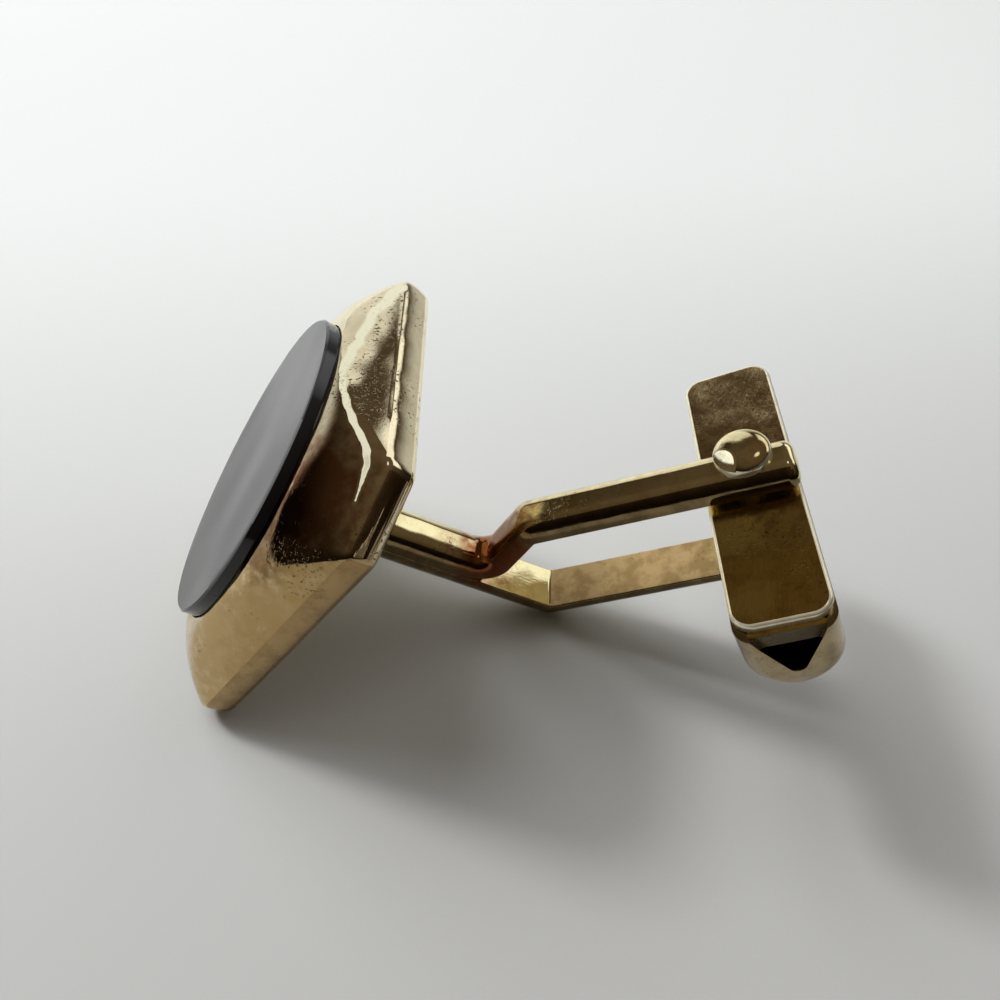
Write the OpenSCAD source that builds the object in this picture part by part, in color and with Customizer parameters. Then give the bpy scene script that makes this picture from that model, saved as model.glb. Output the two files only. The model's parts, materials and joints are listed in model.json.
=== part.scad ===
// Cufflink with a six-sided gold face, an oval dark stone and a swivel toggle
// held between the two arms of a forked post. All lengths are in millimetres.
// The pieces are drawn round the pivot and then laid down as the link rests.

/* [Stone] */
// Length of the oval stone
stone_len = 16; // [14:0.5:18]
// Width of the oval stone
stone_wid = 12; // [10:0.5:13]
// Thickness of the stone at its edge
stone_thick = 2; // [1.6:0.1:2.4]
// Height of the stone's front above the facets at its two ends
stone_proud = 0.75; // [0.5:0.05:1]
// Depth of the shallow dish ground into its front
stone_dish = 0.15; // [0.05:0.05:0.3]
// Polished bevel round the front edge
stone_bevel = 0.12; // [0.05:0.01:0.2]
// Clear space between the stone and its seat
stone_gap = 0.06; // [0.02:0.01:0.12]
// Cement under the stone
cement_thick = 0.1; // [0.05:0.05:0.2]

/* [Bezel] */
// Length of the face from tip to tip
face_len = 25.1; // [23:0.1:27]
// Width of the face across its two short sides
face_wid = 19.8; // [18:0.1:21]
// Length of each short side
face_flat = 4.35; // [3:0.05:6]
// Length that the short sides narrow to at the rear, before they draw in
rear_flat = 4.3; // [3:0.1:4.8]
// Height of the facets where they meet the stone's two ends
rise_end = 2.4; // [2.2:0.05:2.6]
// Height of the facets where they meet the stone's two sides
rise_side = 2.55; // [2.4:0.05:2.9]
// Swell of the facets between the face's edge and the stone
facet_swell = 0.45; // [0.2:0.05:0.5]
// Upright band below the facets
band_h = 0.5; // [0.3:0.05:0.8]
// Wall behind the band, down to the rear edge
skirt_h = 1.05; // [0.6:0.05:1.2]
// How far the rear edge draws in
skirt_draw = 0.15; // [0.1:0.05:0.4]
// Metal left between facets and stone
land_w = 0.12; // [0.08:0.02:0.3]
// Metal under the stone
floor_t = 0.6; // [0.4:0.05:0.8]
// Wall of the hollow bezel
bezel_wall = 0.9; // [0.7:0.05:1.2]
// Roundness of the two tips
tip_r = 0.5; // [0.3:0.1:1.5]
// Roundness of the four side corners
corner_r = 0.5; // [0.3:0.1:1.2]
// Roundness of the side corners at the rear edge
rear_r = 1.2; // [0.5:0.1:1.8]

/* [Back plate and collar] */
// Thickness of the back plate
back_t = 0.5; // [0.4:0.05:0.7]
// Rim of the bezel standing behind the plate
lip_h = 0.2; // [0.1:0.05:0.3]
// Ledge that the plate sits on
ledge_w = 0.45; // [0.3:0.05:0.6]
// Diameter of the brazed collar
collar_d = 4.4; // [4:0.1:6]
// Height of the collar
collar_h = 0.7; // [0.4:0.1:1.2]

/* [Forked post] */
// Width of the bars
bar_w = 2.6; // [2.3:0.05:2.8]
// Thickness of each bar
bar_t = 1.25; // [1.1:0.05:1.4]
// Chamfer along the outer edges of the arms
arm_chamfer = 0.3; // [0.2:0.05:0.5]
// Rounding along the outer edges of the stem
stem_round = 0.7; // [0.4:0.05:0.9]
// Space between the two arms
fork_gap = 6; // [5.7:0.1:7]
// Pivot to the inner corner of the lower bend
lower_arm_len = 12.6; // [12:0.05:14]
// Pivot to the inner corner of the upper bend
upper_arm_len = 11.1; // [10.6:0.05:12]
// Arm beyond the pivot
arm_end = 2.4; // [2.2:0.1:3]
// Roundness of the corners at the arm ends
arm_end_r = 0.6; // [0.3:0.05:0.8]
// Stem from the lower bend to the middle plane of the face
stem_len = 15.5; // [14:0.1:17]
// Angle from the arms to the stem
stem_angle = 52.6; // [50:0.1:58]
// Angle from the arms to the short slanting run of the upper bar
jog_angle = 37; // [33:1:42]
// Outer radius where the upper bar leaves the stem
jog_r = 1.9; // [1.6:0.1:2.2]
// Lean of the face away from square to the stem
face_lean = 8.5; // [0:0.1:9]
// Shift of the face across the stem
face_shift = 1.2; // [0:0.05:1.3]
// Turn of the face about the stem
face_turn = 51.6; // [45:0.2:60]
// Braze along the crotch, where the upper bar bends away
braze_t = 0.5; // [0.3:0.05:0.7]

/* [Toggle] */
// Length of the lid
lid_len = 16; // [15:0.1:17]
// Width of the lid
lid_wid = 4.55; // [4.4:0.05:4.8]
// Thickness of the lid
lid_t = 0.5; // [0.4:0.05:0.6]
// Bevel round the top of the lid
lid_bevel = 0.22; // [0.1:0.02:0.3]
// Corner radius of the lid
lid_r = 1; // [0.6:0.1:1.4]
// Space between the toggle and each arm
side_play = 0.35; // [0.25:0.05:0.45]
// Trough standing out beyond the lid at each end
trough_over = 0.55; // [0.2:0.05:0.7]
// Trough standing out beyond the lid at each side
trough_side = 0.03; // [0.02:0.01:0.1]
// Wall of the trough
trough_wall = 0.4; // [0.3:0.05:0.5]
// Width of the notch in each end, at its top
notch_w = 3.3; // [2.6:0.1:3.6]
// Metal left under the notch
notch_floor = 0.95; // [0.7:0.05:1.5]
// Roundness at the foot of the notch
notch_r = 0.4; // [0.2:0.05:0.6]
// Turn of the toggle from square to the arms
toggle_turn = 2.5; // [0:0.5:5]

/* [Pivot and click] */
// Diameter of the rivet
rivet_d = 1.5; // [1.3:0.05:1.7]
// Diameter of the rivet's domed heads
head_d = 2.8; // [2.6:0.05:3]
// Height of the heads
head_h = 0.8; // [0.5:0.05:0.9]
// How far the heads were set off the rivet's middle
head_shift = 0.4; // [0:0.05:0.5]
// Running clearance round the rivet
run_fit = 0.05; // [0.03:0.01:0.08]
// Clearance of a pressed seat
press_fit = 0.01; // [0.005:0.005:0.02]
// Side of the square click block
cam_side = 2.1; // [1.9:0.05:2.2]
// Height of the click block
cam_h = 3.1; // [2.6:0.1:3.3]
// Thickness of each leaf spring
leaf_t = 0.2; // [0.15:0.01:0.25]
// Height of each leaf spring
leaf_h = 1.9; // [1.5:0.1:1.9]
// Length of each leaf spring
leaf_len = 12.4; // [11:0.1:13.5]

/* [Hidden] */

gold = [0.83, 0.68, 0.38];
warm_gold = [0.78, 0.62, 0.33];
black = [0.1, 0.1, 0.11];
grey = [0.5, 0.5, 0.48];
steel = [0.6, 0.62, 0.64];
brown = [0.45, 0.3, 0.16];

// Overrun of cuts, and the thickness of the slices that a hull joins
over = 1;
slice = 0.02;
// Larger than the whole link, for half-space cuts
big = 60;

// Rounding steps: an arc of a corner, a side, the dish, the swell of a facet, a circle
arc_steps = 6;
side_steps = 8;
dish_steps = 6;
swell_steps = 4;
$fn = 64;

// Six corners of the face lie on the oval's parameter at even steps
corner_turn = 60;
// Share of the crotch's wedge, from its thin end, that holds no braze
braze_start_share = 0.35;
// Share of a step that a tip, and a side corner, takes up on the oval
tip_share = 0.5;
side_share = 0.15;

// Derived heights in the face's own frame, whose zero is the foot of the facets
stone_top = rise_end + stone_proud;
stone_foot = stone_top - stone_thick;
seat_floor = stone_foot - cement_thick;
roof = seat_floor - floor_t;
rear = -(band_h + skirt_h);
plate_back = rear + lip_h;
plate_front = plate_back + back_t;

// Fork, in the frame of the pivot: x along the arms, z along the rivet
arm_in = fork_gap / 2;
arm_out = arm_in + bar_t;
stem_dir = [-cos(stem_angle), sin(stem_angle)];
stem_side = [sin(stem_angle), cos(stem_angle)];
lower_corner = [-lower_arm_len, -arm_in];
upper_corner = [-upper_arm_len, arm_in];
jog_dir = [cos(jog_angle), sin(jog_angle)];
// Where the slanting run, carried on, would meet the seam of the stem
jog_run = cross2(upper_corner - lower_corner, stem_dir) / cross2(jog_dir, stem_dir);
jog_corner = upper_corner - jog_run * jog_dir;
jog_turn = stem_angle + jog_angle;
jog_tangent = jog_r * tan(jog_turn / 2);
face_angle = stem_angle + face_lean;
face_centre = lower_corner + stem_len * stem_dir + face_shift * stem_side;

// Toggle heights
toggle_top = arm_in - side_play;
lid_under = toggle_top - lid_t;
trough_w = lid_wid + 2 * trough_side;
trough_len = lid_len + 2 * trough_over;
trough_foot = -toggle_top;
trough_r = trough_w / 2;

// Click parts
cam_top = lid_under - side_play;
leaf_in = cam_side / 2 + 2 * press_fit;
leaf_bow = trough_w / 2 - trough_wall - leaf_in - leaf_t - 2 * press_fit;
leaf_r = (pow(leaf_len / 2, 2) + pow(leaf_bow, 2)) / (2 * leaf_bow);

function cross2(a, b) = a.x * b.y - a.y * b.x;
function unit(v) = v / norm(v);
function rot2(v, a) = [v.x * cos(a) - v.y * sin(a), v.x * sin(a) + v.y * cos(a)];

// Arc that rounds corner p between neighbours a and b, as a list of points
function corner_arc(p, a, b, r, steps) =
    let (
        u = unit(a - p), v = unit(b - p), half = acos(u * v) / 2,
        c = p + unit(u + v) * r / sin(half),
        s = p + u * r / tan(half) - c,
        e = p + v * r / tan(half) - c,
        turn = atan2(cross2(s, e), s * e)
    )
    [for (i = [0:steps]) c + rot2(s, turn * i / steps)];

// Closed outline with every corner rounded by its own radius
function rounded(pts, radii, steps) =
    let (n = len(pts))
    [for (i = [0:n - 1])
        each corner_arc(pts[i], pts[(i + n - 1) % n], pts[(i + 1) % n], radii[i], steps)];

// The same outline with points spread along its straight sides as well
function ring(pts, radii, steps, runs) =
    let (
        n = len(pts),
        arcs = [for (i = [0:n - 1])
            corner_arc(pts[i], pts[(i + n - 1) % n], pts[(i + 1) % n], radii[i], steps)]
    )
    [for (i = [0:n - 1])
        let (from = arcs[i][steps], to = arcs[(i + 1) % n][0])
        each concat(arcs[i], [for (j = [1:runs - 1]) from + (to - from) * j / runs])];

// Corners of the six-sided face, drawn in by d, from the upper tip round by the far side
function face_corners(d, flat = face_flat) =
    let (
        side = atan2(face_wid, face_len - face_flat),
        a = face_len / 2 - d / sin(side), b = face_wid / 2 - d, c = flat / 2 - d * tan(side / 2)
    )
    [[a, 0], [c, b], [-c, b], [-a, 0], [-c, -b], [c, -b]];
face_radii = [tip_r, corner_r, corner_r, tip_r, corner_r, corner_r];
rear_radii = [tip_r, rear_r, rear_r, tip_r, rear_r, rear_r];

function ring_at(z, corners, radii) =
    [for (p = ring(corners, radii, arc_steps, side_steps)) [p.x, p.y, z]];
function face_ring(z) = ring_at(z, face_corners(0), face_radii);
function rear_ring(z) = ring_at(z, face_corners(skirt_draw, rear_flat), rear_radii);

// Oval with a point for each point of the face's ring
corner_shares = [tip_share, side_share, side_share, tip_share, side_share, side_share];
function oval_turns() =
    [for (i = [0:5])
        let (here = corner_shares[i], next = corner_shares[(i + 1) % 6])
        each concat(
            [for (j = [0:arc_steps]) corner_turn * (i + here * (j / arc_steps - 0.5))],
            [for (j = [1:side_steps - 1])
                corner_turn * (i + here / 2 + (1 - (here + next) / 2) * j / side_steps)])];
function seat_height(t) = rise_end + (rise_side - rise_end) * pow(sin(t), 2);
function oval_ring(l, w) =
    [for (t = oval_turns()) [l / 2 * cos(t), w / 2 * sin(t), seat_height(t)]];
function oval(l, w) = [for (t = oval_turns()) [l / 2 * cos(t), w / 2 * sin(t)]];

// Solid through a stack of rings of equal count, closed at both ends
module skin(rings) {
    n = len(rings[0]);
    m = len(rings);
    pts = concat([for (r = rings) each r], [ring_middle(rings[0]), ring_middle(rings[m - 1])]);
    walls = [for (k = [0:m - 2], i = [0:n - 1])
        each [[k * n + i, (k + 1) * n + i, k * n + (i + 1) % n],
              [k * n + (i + 1) % n, (k + 1) * n + i, (k + 1) * n + (i + 1) % n]]];
    foot = [for (i = [0:n - 1]) [m * n, i, (i + 1) % n]];
    top = [for (i = [0:n - 1]) [m * n + 1, (m - 1) * n + (i + 1) % n, (m - 1) * n + i]];
    polyhedron(pts, concat(walls, foot, top));
}
function ring_middle(r) = [0, 0, min([for (p = r) p.z])];

module slab(outline, z, h) translate([0, 0, z]) linear_extrude(h) polygon(outline);

// Half of all space, on the side that the arrow v points to from the point p
module half_space(p, v) {
    translate([p.x, 0, p.y])
        rotate([0, -atan2(v.y, v.x), 0])
            translate([0, -big / 2, -big / 2]) cube(big);
}

// The link rests on the rear edge of the face's lower far side, from one rounded
// corner to the next, and on the outer corner of the lower bend
function rest_edge(end) =
    let (c = face_corners(skirt_draw, rear_flat), i = 2 + end, p = corner_arc(
        c[i], c[i - 1], c[i + 1], rear_radii[i], 1)[1 - end])
    from_face([p.x, p.y, rear]);
function turn_y(p, a) = [p.x * cos(a) + p.z * sin(a), p.y, p.z * cos(a) - p.x * sin(a)];
function turn_x(p, a) = [p.x, p.y * cos(a) - p.z * sin(a), p.y * sin(a) + p.z * cos(a)];
function from_face(p) =
    let (q = rot2([p.x, p.y], face_turn))
    [face_centre.x, 0, face_centre.y] + turn_y([q.x, q.y, p.z], face_angle - 90);
outer_corner = lower_corner
    - bar_t * (stem_side + [0, 1]) / (1 + stem_side * [0, 1]);
rest_far = rest_edge(0);
rest_tip = rest_edge(1);
rest_bend = [outer_corner.x, arm_chamfer - bar_w / 2, outer_corner.y];
rest_cross = cross(rest_far - rest_tip, rest_bend - rest_tip);
rest_up = rest_cross / norm(rest_cross) * sign(rest_cross.z);
lay_pitch = atan2(rest_up.x, rest_up.z);
lay_roll = atan2(rest_up.y, norm([rest_up.x, rest_up.z]));
function laid(p) = turn_x(turn_y(p, -lay_pitch), lay_roll);

// Outermost points, which centre the link over the origin
reach = [for (p = concat(
    [for (q = face_ring(0), z = [0, -band_h]) from_face([q.x, q.y, z])],
    [for (q = oval(stone_len, stone_wid)) from_face([q.x, q.y, stone_top - stone_bevel])],
    [for (q = trough_plan(), z = [round_foot(q.x), lid_under])
        turn_z([q.x, q.y, z], toggle_turn)],
    [for (z = [-arm_out, arm_out]) [arm_end, 0, z]]
)) laid(p)];
function round_foot(x) = trough_foot + trough_r - sqrt(pow(trough_r, 2) - pow(x, 2));
function trough_plan() =
    let (x = trough_w / 2, y = trough_len / 2)
    rounded([[x, y], [-x, y], [-x, -y], [x, -y]], [for (i = [0:3]) lid_r], 2 * arc_steps);
function turn_z(p, a) = [p.x * cos(a) - p.y * sin(a), p.x * sin(a) + p.y * cos(a), p.z];
function middle(v) = (min(v) + max(v)) / 2;
centre_x = middle([for (p = reach) p.x]);
centre_y = middle([for (p = reach) p.y]);
lift = -laid(rest_tip).z;

module lay() {
    translate([-centre_x, -centre_y, lift])
        rotate([lay_roll, 0, 0]) rotate([0, -lay_pitch, 0]) children();
}

module on_face() {
    lay() translate([face_centre.x, 0, face_centre.y])
        rotate([0, face_angle - 90, 0]) rotate([0, 0, face_turn]) children();
}

module on_toggle() { lay() rotate([0, 0, toggle_turn]) children(); }

// Stamped six-sided shell with ruled facets from its edge up to the oval seat
module bezel() color(gold) on_face() difference() {
    skin([
        rear_ring(rear),
        face_ring(-band_h),
        for (k = [0:swell_steps]) facet_ring(k / swell_steps)
    ]);
    slab(oval(stone_len + 2 * stone_gap, stone_wid + 2 * stone_gap), seat_floor, stone_top);
    hull() {
        slab(rear_outline(bezel_wall + skirt_draw), plate_front - slice, slice);
        slab(rear_outline(3 * bezel_wall), roof - slice, slice);
    }
    slab(rear_outline(plate_inset()), rear - over, plate_front - rear + over);
}
// Ring at the share k of the way from the face's edge up to the seat
function facet_ring(k) =
    let (
        foot = face_ring(0), out = 2 * (stone_gap + land_w),
        rim = oval_ring(stone_len + out, stone_wid + out)
    )
    [for (i = [0:len(foot) - 1])
        foot[i] + (rim[i] - foot[i]) * k + [0, 0, 4 * facet_swell * k * (1 - k)]];
function plate_inset() = bezel_wall + skirt_draw - ledge_w;
function rear_outline(d) = rounded(face_corners(d, rear_flat), rear_radii, arc_steps);

// Oval tablet with a bevelled edge and a front ground to a shallow dish
module stone() color(black) on_face() {
    difference() {
        union() {
            slab(oval(stone_len, stone_wid), stone_foot, stone_thick - stone_bevel);
            hull() {
                slab(oval(stone_len, stone_wid), stone_top - stone_bevel - slice, slice);
                slab(oval(stone_len - 2 * stone_bevel, stone_wid - 2 * stone_bevel),
                    stone_top - slice, slice);
            }
        }
        rotate_extrude() polygon(concat(
            [for (i = [0:dish_steps]) let (k = i / dish_steps)
                [k * stone_len / 2, stone_top - stone_dish * (1 - k * k)]],
            [[stone_len / 2, stone_top + over], [0, stone_top + over]]
        ));
    }
}

module stone_cement() color(grey) on_face()
    slab(oval(stone_len, stone_wid), seat_floor, cement_thick);

module back_plate() color(warm_gold) on_face()
    slab(rear_outline(plate_inset() + press_fit), plate_back, back_t);

// The bars' cross-section, with its flat side on zero and its outer side at t
function arm_outline() = [
    [-bar_w / 2, 0], [bar_w / 2, 0],
    [bar_w / 2, bar_t - arm_chamfer], [bar_w / 2 - arm_chamfer, bar_t],
    [arm_chamfer - bar_w / 2, bar_t], [-bar_w / 2, bar_t - arm_chamfer]];
function stem_outline() = rounded(
    [[-bar_w / 2, 0], [bar_w / 2, 0], [bar_w / 2, bar_t], [-bar_w / 2, bar_t]],
    [slice, slice, stem_round, stem_round], arc_steps);

// Straight run of bar from p in the direction a, with its body on the side s of the line
module bar_run(outline, p, a, length, s) {
    translate([p.x, 0, p.y]) rotate([0, -a, 0]) rotate([90, 0, 90])
        linear_extrude(length) polygon([for (q = outline) [q.x, s * q.y]]);
}

// Plan of an arm, whose end has rounded corners
module arm_plan() {
    y = bar_w / 2 + slice / 4;
    slab(rounded([[-big, y], [-big, -y], [arm_end, -y], [arm_end, y]],
        [slice, slice, arm_end_r, arm_end_r], 2 * arc_steps), -big / 2, big);
}

// Space behind the back plate, which the two bars fill up to
module behind_plate() {
    p = face_centre + plate_back * face_normal();
    half_space(p, -face_normal());
}
function face_normal() = [-cos(face_angle), sin(face_angle)];

// Bar that runs straight down the stem and bends once to the lower arm
module lower_bar() color(gold) lay() {
    start = lower_corner + (stem_len + over) * stem_dir;
    difference() {
        union() {
            intersection() {
                bar_run(stem_outline(), start, -stem_angle, stem_len + 2 * over + bar_t, -1);
                behind_plate();
                half_space(lower_corner, unit(stem_dir - [1, 0]));
            }
            intersection() {
                bar_run(arm_outline(), lower_corner - [bar_t, 0], 0,
                    lower_arm_len + arm_end + 2 * bar_t, -1);
                half_space(lower_corner, unit([1, 0] - stem_dir));
                arm_plan();
            }
        }
        rivet_hole();
    }
}

// Bar that leaves the stem by a tight bend, slants up and turns into the upper arm
module upper_bar() color(gold) lay() {
    start = lower_corner + (stem_len + over) * stem_dir;
    bend_start = jog_corner + jog_tangent * stem_dir;
    bend_centre = bend_start + jog_r * stem_side;
    bend_end = jog_corner + jog_tangent * jog_dir;
    jog_len = norm(upper_corner - bend_end);
    difference() {
        union() {
            intersection() {
                bar_run(stem_outline(), start, -stem_angle, norm(start - bend_start) + slice, 1);
                behind_plate();
            }
            translate([bend_centre.x, 0, bend_centre.y])
                rotate([0, 90 + stem_angle, 0]) rotate([90, 0, 0])
                    rotate_extrude(angle = jog_turn)
                        polygon([for (q = stem_outline()) [jog_r - q.y, q.x]]);
            bar_run(stem_outline(), bend_end - slice * jog_dir, jog_angle, jog_len + slice, 1);
            translate([upper_corner.x, 0, upper_corner.y]) rotate([90, 0, 0])
                rotate([0, 0, 90]) rotate_extrude(angle = jog_angle)
                    polygon([for (q = arm_outline()) [q.y, q.x]]);
            intersection() {
                bar_run(arm_outline(), upper_corner - [slice, 0], 0,
                    upper_arm_len + arm_end + bar_t, 1);
                arm_plan();
            }
        }
        rivet_hole();
    }
}

module rivet_hole() cylinder(h = big, r = rivet_d / 2 + press_fit, center = true);

// Ring brazed round the foot of the stem
module post_collar() color(warm_gold) {
    foot = lower_corner + (stem_len + over) * stem_dir;
    along = (plate_back - collar_h / 2 + face_shift * sin(face_lean)) / cos(face_lean);
    across = -face_shift * cos(face_lean) - along * sin(face_lean);
    off = rot2([across, 0], -face_turn);
    difference() {
        on_face() translate([off.x, off.y, plate_back - collar_h])
            cylinder(h = collar_h, d = collar_d);
        lay() for (s = [-1, 1]) bar_run(snug(stem_outline()), foot, -stem_angle, stem_len, s);
    }
}
function snug(outline) = [for (q = outline) q * (1 + 2 * press_fit / bar_w)];

// Braze in the wedge between the two bars, below the tight bend
module crotch_braze() color(brown) lay() {
    bend_start = jog_corner + jog_tangent * stem_dir;
    reach_x = sqrt(2 * braze_t * jog_r - pow(braze_t, 2));
    translate([bend_start.x, 0, bend_start.y]) rotate([0, stem_angle, 0])
        difference() {
            translate([reach_x * braze_start_share, (stem_round - bar_w) / 2, 0])
                cube([reach_x * (1 - braze_start_share), bar_w - stem_round, braze_t]);
            translate([0, 0, jog_r]) rotate([90, 0, 0])
                cylinder(h = big, r = jog_r, center = true);
        }
}

// Rivet through both arms, with a domed head at each end
module pivot_rivet() color(gold) lay() {
    dome_r = (pow(head_d / 2, 2) + pow(head_h, 2)) / (2 * head_h);
    cylinder(h = 2 * arm_out, d = rivet_d, center = true);
    for (s = [0, 1]) mirror([0, 0, s]) translate([0, head_shift, arm_out]) intersection() {
        translate([0, 0, head_h - dome_r]) sphere(dome_r);
        cylinder(h = head_h + over, d = 2 * head_d);
    }
}

// Square block pressed on the rivet, whose flats the leaf springs click on
module click_block() color(steel) on_toggle() difference() {
    translate([-cam_side / 2, -cam_side / 2, cam_top - cam_h])
        cube([cam_side, cam_side, cam_h]);
    rivet_hole();
}

function lid_outline(d) =
    let (x = lid_wid / 2 - d, y = lid_len / 2 - d)
    rounded([[x, y], [-x, y], [-x, -y], [x, -y]],
        [for (i = [0:3]) max(lid_r - d, lid_bevel)], 2 * arc_steps);

module toggle_lid() color(warm_gold) on_toggle() difference() {
    union() {
        slab(lid_outline(0), lid_under, lid_t - lid_bevel);
        hull() {
            slab(lid_outline(0), toggle_top - lid_bevel - slice, slice);
            slab(lid_outline(lid_bevel), toggle_top - slice, slice);
        }
    }
    cylinder(h = big, r = rivet_d / 2 + run_fit, center = true);
}

// Round-bottomed outline across the toggle, drawn in by d
module trough_section(d) {
    intersection() {
        union() {
            translate([0, trough_foot + trough_r]) circle(trough_r - d);
            translate([d - trough_r, trough_foot + trough_r])
                square([2 * (trough_r - d), lid_under - trough_foot - trough_r]);
        }
        translate([-trough_w, trough_foot]) square([2 * trough_w, lid_under - trough_foot]);
    }
}

// Round-bottomed trough with a pointed notch in each end
module toggle_trough() color(gold) on_toggle() {
    notch_foot = trough_foot + notch_floor;
    notch = rounded(
        [[-notch_w / 2, lid_under + over], [-notch_w / 2, lid_under],
         [0, notch_foot], [notch_w / 2, lid_under], [notch_w / 2, lid_under + over]],
        [slice, slice, notch_r, slice, slice], arc_steps);
    difference() {
        intersection() {
            rotate([90, 0, 0]) linear_extrude(trough_len, center = true) trough_section(0);
            slab(trough_plan(), trough_foot - over, 2 * toggle_top + over);
        }
        rotate([90, 0, 0]) linear_extrude(trough_len - 2 * trough_wall, center = true)
            union() {
                trough_section(trough_wall);
                translate([trough_wall - trough_r, lid_under - slice])
                    square([2 * (trough_r - trough_wall), over]);
            }
        rotate([90, 0, 0]) linear_extrude(trough_len + over, center = true) polygon(notch);
        cylinder(h = big, r = rivet_d / 2 + run_fit, center = true);
    }
}

// Bowed leaf between the click block and one side of the trough
module leaf_spring(s) {
    spread = 2 * asin(leaf_len / 2 / (leaf_r + leaf_t));
    mirror([s, 0, 0]) translate([leaf_in + leaf_t + leaf_r, 0, cam_top - leaf_h])
        rotate([0, 0, 180 - spread / 2]) rotate_extrude(angle = spread, $fn = 180)
            translate([leaf_r, 0]) square([leaf_t, leaf_h]);
}
module leaf_spring_right() color(steel) on_toggle() leaf_spring(0);
module leaf_spring_left() color(steel) on_toggle() leaf_spring(1);

bezel();
stone();
stone_cement();
back_plate();
post_collar();
upper_bar();
lower_bar();
crotch_braze();
pivot_rivet();
click_block();
toggle_lid();
toggle_trough();
leaf_spring_left();
leaf_spring_right();
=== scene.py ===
"""Looks of a cufflink with a six-sided gold face, an oval dark stone, a forked post and
a swivel toggle. Every piece is shaped in millimetres in the frame of its own
sub-assembly and placed, in metres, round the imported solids."""

import json
import logging
import math
from dataclasses import dataclass
from enum import Enum
from typing import Any, Sequence

import bmesh
import bpy
from mathutils import Matrix, Vector


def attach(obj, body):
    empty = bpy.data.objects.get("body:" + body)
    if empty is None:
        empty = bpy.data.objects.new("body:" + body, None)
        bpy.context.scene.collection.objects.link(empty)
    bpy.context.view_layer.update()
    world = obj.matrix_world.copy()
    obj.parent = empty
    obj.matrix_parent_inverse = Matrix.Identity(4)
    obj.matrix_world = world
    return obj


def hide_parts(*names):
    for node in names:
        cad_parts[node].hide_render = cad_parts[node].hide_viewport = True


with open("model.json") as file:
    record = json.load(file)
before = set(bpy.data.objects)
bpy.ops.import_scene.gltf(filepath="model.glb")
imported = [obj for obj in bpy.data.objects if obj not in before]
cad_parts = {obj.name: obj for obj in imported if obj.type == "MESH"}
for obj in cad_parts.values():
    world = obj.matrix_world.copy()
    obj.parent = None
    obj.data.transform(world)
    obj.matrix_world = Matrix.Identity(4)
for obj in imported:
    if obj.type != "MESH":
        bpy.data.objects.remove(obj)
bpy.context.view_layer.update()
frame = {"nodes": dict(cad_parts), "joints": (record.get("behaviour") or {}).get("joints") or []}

MM = 0.001
IMAGE_PX = 1000
SENSOR_MM = 36.0
SHARP_ANGLE = math.radians(38)
TINY = 1e-4

Points = list[Vector]
Triple = tuple[float, float, float]
Colour = Triple
Span = tuple[float, float]

log = logging.getLogger("cufflink")


class Body(Enum):
    """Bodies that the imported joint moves."""

    POST = "post"
    TOGGLE = "toggle"


class Slot(Enum):
    """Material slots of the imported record."""

    BEZEL = "gold_bezel"
    POST = "gold_post"
    TOGGLE = "gold_toggle"
    STONE = "onyx"
    CEMENT = "cement"
    STEEL = "spring_steel"
    BRAZE = "braze"


def heading(azimuth: float, elevation: float) -> Vector:
    """Unit direction of a turn and a rise.

    Args:
        azimuth: The turn from +Y towards +X, in degrees.
        elevation: The rise above the floor, in degrees.

    Returns:
        The direction.
    """
    turn, rise = math.radians(azimuth), math.radians(elevation)
    return Vector((
        math.sin(turn) * math.cos(rise), math.cos(turn) * math.cos(rise), math.sin(rise)))


def flat(x: float, y: float) -> Vector:
    """A point of a plane outline."""
    return Vector((x, y))


def corner_arc(corner: Vector, before: Vector, after: Vector, radius: float, steps: int) -> Points:
    """Rounds one corner of an outline.

    Args:
        corner: The sharp corner.
        before: The corner before it.
        after: The corner after it.
        radius: The arc's radius.
        steps: Parts of the arc.

    Returns:
        The arc's points, from the side of `before` to the side of `after`.
    """
    back, ahead = (before - corner).normalized(), (after - corner).normalized()
    half = back.angle(ahead) / 2
    middle = corner + (back + ahead).normalized() * radius / math.sin(half)
    first = corner + back * radius / math.tan(half) - middle
    last = corner + ahead * radius / math.tan(half) - middle
    turn = math.atan2(first.x * last.y - first.y * last.x, first.dot(last))
    return [middle + Matrix.Rotation(turn * i / steps, 2) @ first for i in range(steps + 1)]


def rounded(
    corners: Points, radii: Sequence[float], steps: Sequence[int], runs: int = 1,
) -> Points:
    """Rounds every corner of a closed outline.

    Args:
        corners: The sharp corners in order.
        radii: A radius for each corner.
        steps: Parts of each corner's arc.
        runs: Equal parts of each straight side.

    Returns:
        The points of the rounded outline.
    """
    count = len(corners)
    arcs = [
        corner_arc(corners[i], corners[i - 1], corners[(i + 1) % count], radii[i], steps[i])
        for i in range(count)
    ]
    points: Points = []
    for arc, after in zip(arcs, arcs[1:] + arcs[:1]):
        points += arc
        points += [arc[-1].lerp(after[0], j / runs) for j in range(1, runs)]
    return points


def at_height(outline: Points, z: float) -> Points:
    """A plane outline lifted to the height z."""
    return [Vector((p.x, p.y, z)) for p in outline]


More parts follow.
